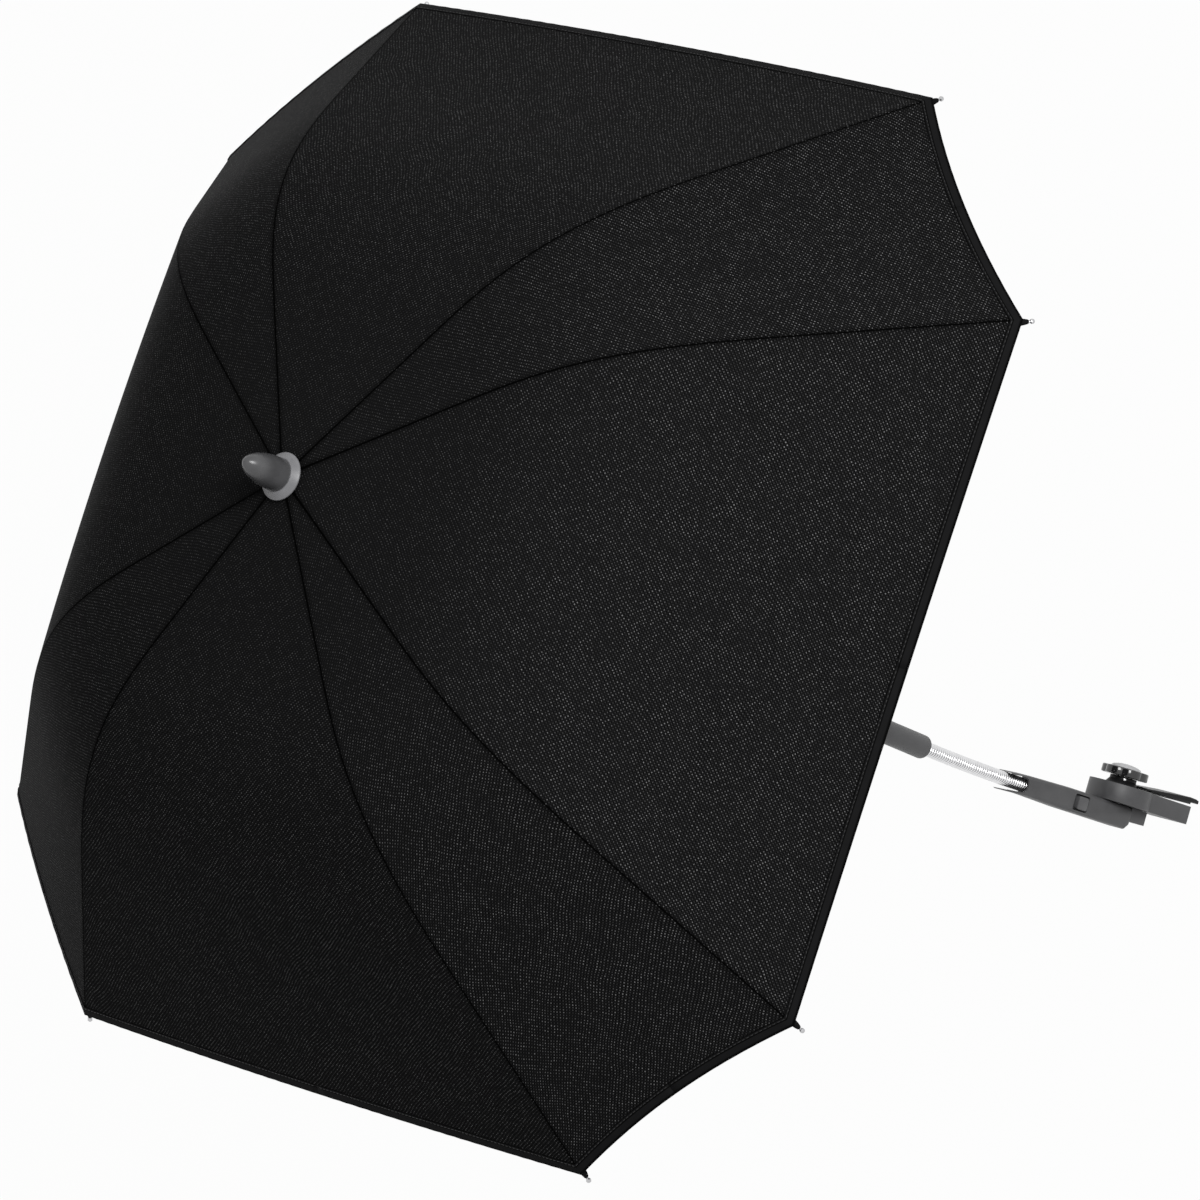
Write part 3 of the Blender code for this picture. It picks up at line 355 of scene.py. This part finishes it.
def plastic_material(name, colour, roughness, grain=0.00003, coat=0.0, refraction=1.5):
    """Moulded plastic: spark-eroded grain, faint rubbing and slightly uneven gloss."""
    shade = Shade(name)
    place = shade.place()
    fine = shade.noise(place, PLASTIC_GRAIN, 2.0)
    broad = shade.noise(place, PLASTIC_RUBBING, 4.0)
    light = tuple(min(1.0, part * 1.18 + 0.004) for part in colour)
    dark = tuple(part * 0.9 for part in colour)
    base = shade.mix(shade.ramp(broad, 0.3, 0.75), dark, light)
    rough = shade.ramp(broad, 0.25, 0.8, roughness - 0.05, roughness + 0.07)
    return shade.set(Base_Color=base, Roughness=rough, Normal=shade.bump(fine, grain, 0.7),
                     Coat_Weight=coat, Coat_Roughness=0.08, IOR=refraction)


def metal_material(name, colour, roughness):
    """Plated steel with faint drawing marks and duller patches."""
    shade = Shade(name)
    place = shade.place()
    marks = shade.noise(place, METAL_MARKS, 3.0)
    broad = shade.noise(place, METAL_PATCHES, 3.0)
    base = shade.mix(shade.ramp(broad, 0.3, 0.8), tuple(part * 0.9 for part in colour), colour)
    rough = shade.ramp(broad, 0.3, 0.8, roughness, roughness + METAL_WEAR)
    return shade.set(Base_Color=base, Metallic=1.0, Roughness=rough,
                     Normal=shade.bump(marks, 0.00002, 0.25))


def tip_material():
    """Rib tip: a plated ball on a black neck, told apart by the distance from the ball's middle."""
    shade = Shade("rib tip")
    split = shade.node("ShaderNodeSeparateXYZ")
    shade.feed(split.inputs[0], shade.place())

    def length(a, b):
        """Length of the vector with these two parts."""
        return shade.math("SQRT", shade.math("ADD", shade.math("POWER", a, 2.0), shade.math("POWER", b, 2.0)))

    radius = length(shade.math("SUBTRACT", split.outputs[0], HUB.x), split.outputs[1])
    run = shade.math("SUBTRACT", radius, TIP_BALL[0])
    rise = shade.math("SUBTRACT", split.outputs[2], HUB.z + TIP_BALL[1])
    ball = shade.ramp(length(run, rise), *TIP_BALL_EDGE)
    base = shade.mix(ball, (0.012, 0.012, 0.0125), (0.52, 0.52, 0.53))
    return shade.set(Base_Color=base, Metallic=ball, Roughness=0.28)


MATERIALS = {
    "tip": tip_material(),
    "pocket": plastic_material("black pocket cloth", (0.006, 0.006, 0.0063), 0.75, 0.00006, refraction=1.1),
    "cloth": cloth_material(),
    "binding": binding_material(),
    "thread": thread_material(),
    "grip": plastic_material("dark grey plastic", (0.075, 0.075, 0.078), 0.46),
    "ferrule": plastic_material("ferrule plastic", (0.085, 0.085, 0.088), 0.26, 0.00002),
    "washer": plastic_material("washer plastic", (0.23, 0.23, 0.24), 0.40),
    "black": plastic_material("black plastic", (0.020, 0.020, 0.021), 0.45),
    "jaw": plastic_material("jaw plastic", (0.010, 0.010, 0.0105), 0.36, refraction=1.25),
    "gloss": plastic_material("gloss black plastic", (0.014, 0.014, 0.015), 0.16, 0.000008, 0.4),
    "button": plastic_material("button plastic", (0.10, 0.10, 0.104), 0.38),
    "cap": plastic_material("cap plastic", (0.60, 0.60, 0.61), 0.34),
    "steel": metal_material("zinc plated steel", (0.55, 0.55, 0.57), 0.30),
    "chrome": metal_material("bright plated steel", (0.80, 0.80, 0.81), 0.16),
}


# Mesh helpers

def piece(name, verts, faces, material, uvs=None, normals=None, seams=None):
    """A smooth mesh with its material and slot; uvs, seams and normals are given for each face corner."""
    mesh = bpy.data.meshes.new(name)
    mesh.from_pydata([tuple(v) for v in verts], [], faces)
    mesh.materials.append(MATERIALS[material])
    mesh.polygons.foreach_set("use_smooth", [True] * len(mesh.polygons))
    for title, places in (("cloth", uvs), ("seam", seams)):
        if places is not None:
            layer = mesh.uv_layers.new(name=title)
            for spot, value in zip(layer.data, (pair for face in places for pair in face)):
                spot.uv = value
    if normals is not None:
        mesh.normals_split_custom_set([tuple(n) for face in normals for n in face])
    made = bpy.data.objects.new(name, mesh)
    bpy.context.scene.collection.objects.link(made)
    return made


# Canopy surface

def fabric_height(radius):
    """Height of the cloth along a rib, under the hub: a straight slope, a bend, a steeper slope."""
    share = min(1.0, max(0.0, (radius - BEND_START) / (BEND_END - BEND_START)))
    bent = (BEND_END - BEND_START) * (share ** 3 - share ** 4 / 2) + max(0.0, radius - BEND_END)
    return -SLOPE_TOP * radius - (SLOPE_EDGE - SLOPE_TOP) * bent


def rib_point(azimuth, share):
    radius = CLOTH_HOLE + (CORNER_RADIUS - CLOTH_HOLE) * share
    return Vector((radius * math.cos(azimuth), radius * math.sin(azimuth), fabric_height(radius)))


def panel_width(azimuth, other):
    return abs(math.sin((other - azimuth) / 2)) * 2 * CORNER_RADIUS


def panel_point(azimuth, other, share, across):
    """Cloth between two ribs: a chord that swells a little, cut back along the hem."""
    cut_back = HEM_CUT_WIDE if abs(other - azimuth) > math.pi / 4 else HEM_CUT_NARROW
    bow = 4 * across * (1 - across)
    share = share * (1 - bow * cut_back / CORNER_RADIUS)
    point = rib_point(azimuth, share).lerp(rib_point(other, share), across)
    middle = (azimuth + other) / 2
    outward = Vector((math.cos(middle), math.sin(middle), math.tan(SWELL_TILT))).normalized()
    return point + outward * PANEL_SWELL * bow * share


def panel_normal(azimuth, other, share, across):
    low, high = max(0.0, share - SLOPE_STEP), min(1.0, share + SLOPE_STEP)
    left, right = max(0.0, across - SLOPE_STEP), min(1.0, across + SLOPE_STEP)
    down = panel_point(azimuth, other, high, across) - panel_point(azimuth, other, low, across)
    side = panel_point(azimuth, other, share, right) - panel_point(azimuth, other, share, left)
    normal = down.cross(side).normalized()
    return normal if normal.z > 0 else -normal


def neighbours(number):
    """Azimuths of the ribs before and after this one, without a jump at the full turn."""
    before = AZIMUTHS[number - 1] - (math.tau if number == 0 else 0)
    after = AZIMUTHS[(number + 1) % 8] + (math.tau if number == 7 else 0)
    return before, after


def half_columns(width):
    """Distances from the rib as shares of the panel: close beside the seam, even out to the middle."""
    shrink = min(1.0, SEAM_REACH * width / SEAM_COLUMNS[-1])
    near = [column * shrink / width for column in SEAM_COLUMNS]
    return near + [near[-1] + (0.5 - near[-1]) * i / PANEL_COLUMNS for i in range(1, PANEL_COLUMNS + 1)]


def seam_drop(distance):
    """How far the cloth dips into its seam at a distance from the rib."""
    reach = SEAM_COLUMNS[-1]
    if distance >= reach:
        return 0.0
    return SEAM_DEPTH * (1 - distance / reach) ** 2


def carry(thing, number):
    """Cloth goes with its rib, on a mesh of its own."""
    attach(thing, f"rib_body_{number + 1}")
    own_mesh(thing)


def gore_columns(number):
    """The gore's columns from middle to middle: panel's far rib, share across it, side of the rib."""
    azimuth = AZIMUTHS[number]
    columns = []
    for side, other in zip((-1, 1), neighbours(number)):
        found = [(other, across, side) for across in half_columns(panel_width(azimuth, other))]
        columns += list(reversed(found)) if side < 0 else found[1:]
    return columns


def gore_point(number, share, column):
    """A point of the cloth in its seam groove, its normal on this side, and the one to sink along."""
    azimuth = AZIMUTHS[number]
    other, across, side = column
    normal = panel_normal(azimuth, other, share, across)
    point = panel_point(azimuth, other, share, across)
    level = normal
    if across == 0.0:
        level = sum((panel_normal(azimuth, beside, share, 0.0) for beside in neighbours(number)), Vector())
        level.normalize()
    distance = across * panel_width(azimuth, other)
    along = Vector((-math.sin(azimuth), math.cos(azimuth), 0.0)) * side
    left = SEAM_COLUMNS[-1] - distance
    tilt = 2 * seam_drop(distance) / max(1e-6, left) if left > 0 else 0.0
    return point - level * seam_drop(distance), (normal - along * tilt).normalized(), level


def cloth_place(number, column, share, point):
    """Cloth coordinates of a point: along the hem and down the panel, from the panel's own middle line."""
    other = column[0]
    azimuth = AZIMUTHS[number]
    middle = (azimuth + other) / 2
    along = Vector((-math.sin(middle), math.cos(middle), 0))
    return point.dot(along), panel_run(abs(other - azimuth), share)


RUNS = {}


def panel_run(angle, share):
    """Length of cloth from the hub down the middle of a panel."""
    key = round(angle, 6)
    if key not in RUNS:
        points = [panel_point(0.0, angle, step / CLOTH_ROWS, 0.5) for step in range(CLOTH_ROWS + 1)]
        lengths = [0.0]
        for here, there in zip(points, points[1:]):
            lengths.append(lengths[-1] + (there - here).length)
        RUNS[key] = lengths
    spot = share * CLOTH_ROWS
    low = min(int(spot), CLOTH_ROWS - 1)
    return RUNS[key][low] + (RUNS[key][low + 1] - RUNS[key][low]) * (spot - low)


def build_gore(number):
    """One gore as a closed body: outer face, inner face, and the cut edges between them."""
    columns = gore_columns(number)
    rib = next(i for i, column in enumerate(columns) if column[1] == 0.0)
    sides = neighbours(number)
    outer, inner, faces, uvs, seams, normals = [], [], [], [], [], []
    table = []
    for row in range(CLOTH_ROWS + 1):
        share = row / CLOTH_ROWS
        found = []
        for column in columns:
            point, normal, level = gore_point(number, share, column)
            outer.append(HUB + point)
            inner.append(HUB + point - level * CLOTH)
            found.append((point, normal, column))
        table.append(found)
    width = len(columns)
    low = len(outer)

    def look(row, place, side, under):
        """Normal, cloth and seam coordinates of a corner, as the face on that side of the rib has them."""
        point, normal, column = table[row][place]
        share = row / CLOTH_ROWS
        if place == rib:
            column = (sides[0] if side < 0 else sides[1], 0.0, side)
            normal = gore_point(number, share, column)[1]
        beside = column[1] * panel_width(AZIMUTHS[number], column[0]) * share
        seam = (beside, share * CORNER_RADIUS)
        return (-normal if under else normal), cloth_place(number, column, share, point), seam

    def add(corners, side, edge=None):
        """One face, lit by its corners' own normals or by the cut edge's."""
        faces.append([row * width + place + (low if under else 0) for row, place, under in corners])
        found = [look(row, place, side, under) for row, place, under in corners]
        normals.append([edge or normal for normal, uv, seam in found])
        uvs.append([uv for normal, uv, seam in found])
        seams.append([seam for normal, uv, seam in found])

    area = 0.0
    for row in range(CLOTH_ROWS):
        for place in range(width - 1):
            side = -1 if place < rib else 1
            add([(row, place, 0), (row + 1, place, 0), (row + 1, place + 1, 0), (row, place + 1, 0)], side)
            add([(row, place, 1), (row, place + 1, 1), (row + 1, place + 1, 1), (row + 1, place, 1)], side)
            across = table[row + 1][place + 1][0] - table[row][place][0]
            area += across.cross(table[row][place + 1][0] - table[row + 1][place][0]).length / 2
        for place, flip in ((0, 1), (width - 1, 0)):
            corners = [(row, place, 0), (row, place, 1), (row + 1, place, 1), (row + 1, place, 0)]
            azimuth = (AZIMUTHS[number] + columns[place][0]) / 2
            away = Vector((-math.sin(azimuth), math.cos(azimuth), 0)) * (1 - 2 * flip)
            add(corners if flip else corners[::-1], columns[place][2], away)
    for row, flip in ((0, 0), (CLOTH_ROWS, 1)):
        for place in range(width - 1):
            side = -1 if place < rib else 1
            corners = [(row, place, 0), (row, place + 1, 0), (row, place + 1, 1), (row, place, 1)]
            out = table[row][place][0] - table[row - 1 if flip else row + 1][place][0]
            add(corners[::-1] if flip else corners, side, out.normalized())
    gore = piece(f"cloth_gore_{number + 1}", outer + inner, faces, "cloth",
                 uvs=uvs, normals=normals, seams=seams)
    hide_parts(f"canopy_gore_{number + 1}")
    return gore, area


def hem_frame(azimuth, other, across):
    """Edge point, direction in along the cloth and normal at a place along the hem."""
    edge = panel_point(azimuth, other, 1.0, across)
    inner = panel_point(azimuth, other, HEM_INSIDE, across)
    return edge, (inner - edge).normalized(), panel_normal(azimuth, other, 1.0, across)


def build_hem(number):
    """Binding folded over the cut edge, as a closed band round it."""
    azimuth = AZIMUTHS[number]
    high, low = HEM_FOLD, -CLOTH - HEM_FOLD
    section = [
        (HEM_WIDTH, 0.0), (HEM_WIDTH - 0.0002, high * 0.8), (HEM_WIDTH - 0.0008, high),
        (0.0006, high), (-0.0002, high * 0.6), (-0.0005, (high + low) / 2), (-0.0002, low * 0.8),
        (0.0006, low), (HEM_WIDTH - 0.0008, low), (HEM_WIDTH - 0.0002, low * 0.9), (HEM_WIDTH, -CLOTH)]
    before, after = neighbours(number)
    stations = []
    for other, order in ((before, -1), (after, 1)):
        steps = max(8, round(panel_width(azimuth, other) / 2 / HEM_STEP))
        for i in range(steps + 1):
            if order == -1 or i > 0:
                stations.append((other, 0.5 * (steps - i if order == -1 else i) / steps))
    verts, faces, uvs = [], [], []
    run = 0.0
    last = None
    rings = []
    for other, across in stations:
        edge, inward, normal = hem_frame(azimuth, other, across)
        run += (edge - last).length if last is not None else 0.0
        last = edge
        ripple = RIPPLE_HEIGHT * math.sin(run * math.tau / RIPPLE_LENGTH)
        ring = []
        for deep, rise in section:
            ring.append(len(verts))
            verts.append(HUB + edge + inward * deep + normal * (rise + ripple))
        rings.append((ring, run))
    count = len(section)
    for (ring, a), (after_ring, b) in zip(rings, rings[1:]):
        for i in range(count):
            k = (i + 1) % count
            faces.append((ring[i], ring[k], after_ring[k], after_ring[i]))
            uvs.append([(a, section[i][0]), (a, section[k][0]), (b, section[k][0]), (b, section[i][0])])
    faces.append(tuple(reversed(rings[0][0])))
    uvs.append([(0.0, 0.0)] * count)
    faces.append(tuple(rings[-1][0]))
    uvs.append([(0.0, 0.0)] * count)
    hem = piece(f"hem_binding_{number + 1}", verts, faces, "binding", uvs)
    hem.data.polygons[-1].use_smooth = False
    hem.data.polygons[-2].use_smooth = False
    face_out(hem)
    return hem


def face_out(thing):
    """Turns every face of a closed mesh outwards."""
    bm = bmesh.new()
    bm.from_mesh(thing.data)
    bmesh.ops.recalc_face_normals(bm, faces=bm.faces)
    bm.to_mesh(thing.data)
    bm.free()


def bead(verts, faces, centre, run, side, up, length, radius):
    """A short rounded stitch laid along run."""
    base = len(verts)
    sides = STITCH_SIDES
    for along, swell in STITCH_RINGS:
        for turn in range(sides):
            angle = math.tau * turn / sides
            verts.append(centre + run * length * along
                         + (side * math.cos(angle) + up * math.sin(angle)) * radius * swell)
    for ring in range(len(STITCH_RINGS) - 1):
        for turn in range(sides):
            a, b = base + ring * sides + turn, base + ring * sides + (turn + 1) % sides
            faces.append((a, b, b + sides, a + sides))
    faces.append(tuple(base + turn for turn in reversed(range(sides))))
    faces.append(tuple(base + (len(STITCH_RINGS) - 1) * sides + turn for turn in range(sides)))


def build_stitches(number):
    """The row of stitches that holds the tape, as one piece."""
    azimuth = AZIMUTHS[number]
    verts, faces = [], []
    for other in neighbours(number):
        width = panel_width(azimuth, other)
        count = int(width / 2 / STITCH_PITCH)
        for i in range(count):
            across = (i + 0.5) * STITCH_PITCH / width
            edge, inward, normal = hem_frame(azimuth, other, across)
            nearby = hem_frame(azimuth, other, across + SLOPE_STEP)[0]
            run = (nearby - edge).normalized()
            side = run.cross(normal).normalized()
            centre = HUB + edge + inward * STITCH_LINE + normal * (HEM_FOLD + STITCH_RADIUS * STITCH_SUNK)
            bead(verts, faces, centre, run, side, normal, STITCH_LENGTH, STITCH_RADIUS)
    return piece(f"hem_stitches_{number + 1}", verts, faces, "thread")


def build_pocket(number):
    """Pointed pocket under the hem's corner, in which the rib's end sits."""
    outward = Vector((math.cos(AZIMUTHS[number]), math.sin(AZIMUTHS[number]), 0.0))
    ball = HUB + outward * TIP_BALL[0] + Vector((0, 0, TIP_BALL[1]))
    inward = Vector((0, 0, math.sin(TIP_SLOPE))) - outward * math.cos(TIP_SLOPE)
    points = [ball + inward * along for along, radius in POCKET]
    radii = tuple(radius for along, radius in POCKET)
    pocket = tube(f"rib_pocket_{number + 1}", points, radii, ROUND_SIDES, "pocket")
    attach(pocket, f"rib_body_{number + 1}")


def build_canopy():
    for number in range(8):
        build_pocket(number)
        gore, area = build_gore(number)
        hem = build_hem(number)
        stitches = build_stitches(number)
        for thing in (gore, hem, stitches):
            carry(thing, number)


# Gooseneck

NECK_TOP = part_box("sleeve")[0].z - HUB.z - CLOTH_GAP
BEND_RADIUS = NECK_LENGTH / NECK_BEND


def neck_point(distance):
    """Centre line of the gooseneck from the sleeve down, with the angle that it has turned."""
    angle = min(max(distance, 0.0), NECK_LENGTH) / BEND_RADIUS
    point = Vector((BEND_RADIUS * (1 - math.cos(angle)), 0, NECK_TOP - BEND_RADIUS * math.sin(angle)))
    over = distance if distance < 0 else max(0.0, distance - NECK_LENGTH)
    return HUB + point + Vector((math.sin(angle), 0, -math.cos(angle))) * over, angle


def tube(name, points, radius, sides, material):
    """A closed tube along points, with one radius or one for each point."""
    verts, faces = [], []
    radii = radius if isinstance(radius, tuple) else (radius,) * len(points)
    side = None
    for i, point in enumerate(points):
        ahead = (points[min(i + 1, len(points) - 1)] - points[max(i - 1, 0)]).normalized()
        if side is None:
            side = ahead.orthogonal().normalized()
        side = (side - ahead * side.dot(ahead)).normalized()
        up = ahead.cross(side)
        verts += [point + (side * math.cos(a) + up * math.sin(a)) * radii[i]
                  for a in (math.tau * k / sides for k in range(sides))]
    for i in range(len(points) - 1):
        for k in range(sides):
            a, b = i * sides + k, i * sides + (k + 1) % sides
            faces.append((a, b, b + sides, a + sides))
    faces.append(tuple(reversed(range(sides))))
    faces.append(tuple(range((len(points) - 1) * sides, len(points) * sides)))
    return piece(name, verts, faces, material)


def build_gooseneck():
    """The winding and its core, each in two pieces that meet half way."""
    wire = COIL_WIRE
    first, last = wire, NECK_LENGTH - CLOTH_GAP - wire
    turns = int((last - first) / COIL_PITCH)
    pitch = (last - first) / turns

    def at(distance, turn):
        """Middle of the wire at a distance down the neck and a turn round it."""
        centre, angle = neck_point(distance)
        side = Vector((math.cos(angle), 0, math.sin(angle)))
        return centre + COIL_RADIUS * (side * math.cos(turn) + Vector((0, 1, 0)) * math.sin(turn))

    points = [at(0, 0)]
    points += [at(first + pitch * i / COIL_STEPS, math.tau * i / COIL_STEPS)
               for i in range(turns * COIL_STEPS + 1)]
    points.append(at(last + wire, 0))
    half = len(points) // 2
    upper = tube("gooseneck_upper_turns", points[:half + 1], wire / 2, WIRE_SIDES, "chrome")
    lower = tube("gooseneck_lower_turns", points[half:], wire / 2, WIRE_SIDES, "chrome")
    core = COIL_RADIUS - wire / 2 - CLOTH_GAP
    line = [neck_point(-CORE_DEPTH)[0]]
    line += [neck_point(NECK_LENGTH * i / CORE_STEPS)[0] for i in range(CORE_STEPS + 1)]
    line.append(neck_point(NECK_LENGTH + CORE_DEPTH)[0])
    centre = 1 + CORE_STEPS // 2
    upper_core = tube("gooseneck_upper_core", line[:centre + 1], core, ROUND_SIDES, "black")
    lower_core = tube("gooseneck_lower_core", line[centre:], core, ROUND_SIDES, "black")
    for thing in (upper, upper_core):
        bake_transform(thing)
    for thing in (lower, lower_core):
        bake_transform(thing)
    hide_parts("gooseneck_coil")
    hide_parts("gooseneck_coil")
    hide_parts("gooseneck_core")
    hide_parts("gooseneck_core")


# CAD nodes that stay: finish, welded corners, soft edges

def shading_group():
    """Shades smooth over edges below an angle and sharp over those above it."""
    group = bpy.data.node_groups.new("smooth by angle", "GeometryNodeTree")
    group.interface.new_socket("Geometry", in_out="INPUT", socket_type="NodeSocketGeometry")
    group.interface.new_socket("Geometry", in_out="OUTPUT", socket_type="NodeSocketGeometry")
    start = group.nodes.new("NodeGroupInput")
    end = group.nodes.new("NodeGroupOutput")
    faces = group.nodes.new("GeometryNodeSetShadeSmooth")
    edges = group.nodes.new("GeometryNodeSetShadeSmooth")
    edges.domain = "EDGE"
    edges.inputs["Shade Smooth"].default_value = False
    angle = group.nodes.new("GeometryNodeInputMeshEdgeAngle")
    test = group.nodes.new("FunctionNodeCompare")
    test.operation = "GREATER_THAN"
    test.inputs[1].default_value = SMOOTH_BELOW
    group.links.new(start.outputs[0], faces.inputs["Geometry"])
    group.links.new(faces.outputs[0], edges.inputs["Geometry"])
    group.links.new(angle.outputs["Unsigned Angle"], test.inputs[0])
    group.links.new(test.outputs[0], edges.inputs["Selection"])
    group.links.new(edges.outputs[0], end.inputs[0])
    return group


def finish_nodes():
    """Gives each CAD node that stays its look."""
    group = shading_group()
    looks = {
        "ferrule": "ferrule", "ferrule_washer": "washer", "top_notch": "black", "notch_wire": "steel",
        "shaft_tube": "chrome", "catch_spring": "steel", "runner": "black", "sleeve": "grip",
        "handle_bar": "grip", "push_button": "button", "swivel_tongue": "grip", "clamp_body": "grip",
        "moving_jaw": "jaw", "collar_pin": "chrome", "star_knob": "gloss", "knob_cap": "cap",
        "clamp_screw": "steel"}
    for number in range(1, 9):
        looks[f"rib_{number}"] = looks[f"rib_bracket_{number}"] = looks[f"stretcher_{number}"] = "steel"
        looks[f"rib_tip_{number}"] = "tip"
    bevelled = {"sleeve": 0.0003, "handle_bar": 0.0003, "clamp_body": 0.0006, "moving_jaw": 0.0003,
                "ferrule_washer": 0.0003, "swivel_tongue": 0.0004, "runner": 0.0003, "top_notch": 0.0002}
    for name, look in looks.items():
        node = nodes[name]
        mesh = node.data
        if "custom_normal" in mesh.attributes:
            mesh.attributes.remove(mesh.attributes["custom_normal"])
        mesh.materials.clear()
        mesh.materials.append(MATERIALS[look])
        weld = node.modifiers.new("weld", "WELD")
        weld.merge_threshold = WELD_GAP
        if name in bevelled:
            bevel = node.modifiers.new("soft edges", "BEVEL")
            bevel.width = bevelled[name]
            bevel.segments = 2
            bevel.limit_method = "ANGLE"
            bevel.angle_limit = BEVEL_ABOVE
        node.modifiers.new("shading", "NODES").node_group = group


# Studio

def build_camera():
    data = bpy.data.cameras.new("camera")
    data.lens = LENS
    data.sensor_width = SENSOR
    data.clip_end = 50.0
    camera = bpy.data.objects.new("camera", data)
    bpy.context.scene.collection.objects.link(camera)
    forward = CAMERA_FORWARD.normalized()
    right = forward.cross(CAMERA_UP).normalized()
    up = right.cross(forward)
    turn = Matrix((right, up, -forward)).transposed().to_4x4()
    camera.matrix_world = Matrix.Translation(HUB + CAMERA_FROM_HUB) @ turn
    bpy.context.scene.camera = camera
    return right, up, forward


def area_light(name, place, aim, size, power):
    data = bpy.data.lights.new(name, "AREA")
    data.shape = "SQUARE"
    data.size = size
    data.energy = power
    light = bpy.data.objects.new(name, data)
    bpy.context.scene.collection.objects.link(light)
    light.location = place
    light.rotation_mode = "QUATERNION"
    light.rotation_quaternion = (aim - place).to_track_quat("-Z", "Y")


def backdrop_share(tree):
    """1 where a ray comes from the camera, a glossy surface or through glass."""
    path = tree.nodes.new("ShaderNodeLightPath")
    share = path.outputs["Is Camera Ray"]
    for name in ("Is Glossy Ray", "Is Transmission Ray"):
        both = tree.nodes.new("ShaderNodeMath")
        both.operation = "MAXIMUM"
        tree.links.new(share, both.inputs[0])
        tree.links.new(path.outputs[name], both.inputs[1])
        share = both.outputs[0]
    return share


def build_floor():
    """White floor, a pram's height below the clamp, that keeps a faint shadow."""
    material = bpy.data.materials.new("white floor")
    material.use_nodes = True
    tree = material.node_tree
    tree.nodes.clear()
    output = tree.nodes.new("ShaderNodeOutputMaterial")
    diffuse = tree.nodes.new("ShaderNodeBsdfDiffuse")
    diffuse.inputs["Color"].default_value = FLOOR_COLOUR
    glow = tree.nodes.new("ShaderNodeEmission")
    glow.inputs["Strength"].default_value = 1.0
    mixed = tree.nodes.new("ShaderNodeMixShader")
    scaled = tree.nodes.new("ShaderNodeMath")
    scaled.operation = "MULTIPLY"
    scaled.inputs[1].default_value = FLOOR_WHITE
    tree.links.new(backdrop_share(tree), scaled.inputs[0])
    tree.links.new(scaled.outputs[0], mixed.inputs[0])
    tree.links.new(diffuse.outputs[0], mixed.inputs[1])
    tree.links.new(glow.outputs[0], mixed.inputs[2])
    tree.links.new(mixed.outputs[0], output.inputs[0])
    mesh = bpy.data.meshes.new("floor")
    corners = [(x * FLOOR_HALF, y * FLOOR_HALF, FLOOR_HEIGHT)
               for x, y in ((-1, -1), (1, -1), (1, 1), (-1, 1))]
    mesh.from_pydata(corners, [], [(0, 1, 2, 3)])
    mesh.materials.append(material)
    floor = bpy.data.objects.new("floor", mesh)
    bpy.context.scene.collection.objects.link(floor)


def build_world():
    """Pale light from all round, seen as white by the camera and in metal."""
    world = bpy.data.worlds.new("studio")
    bpy.context.scene.world = world
    world.use_nodes = True
    tree = world.node_tree
    background = tree.nodes["Background"]
    background.inputs["Color"].default_value = (1.0, 1.0, 1.0, 1.0)
    strength = tree.nodes.new("ShaderNodeMapRange")
    strength.inputs["To Min"].default_value = WORLD_LIGHT
    strength.inputs["To Max"].default_value = 1.0
    tree.links.new(backdrop_share(tree), strength.inputs["Value"])
    tree.links.new(strength.outputs["Result"], background.inputs["Strength"])


def build_studio():
    right, up, forward = build_camera()
    centre = HUB + Vector((0.0, 0.0, -0.1))
    place = centre - forward * KEY_BACK + right * KEY_RIGHT + up * KEY_UP
    area_light("key light", place, centre, KEY_SIZE, KEY_POWER)
    build_floor()
    build_world()
    bpy.context.scene.view_settings.view_transform = "Standard"


build_studio()
build_canopy()
build_gooseneck()
finish_nodes()
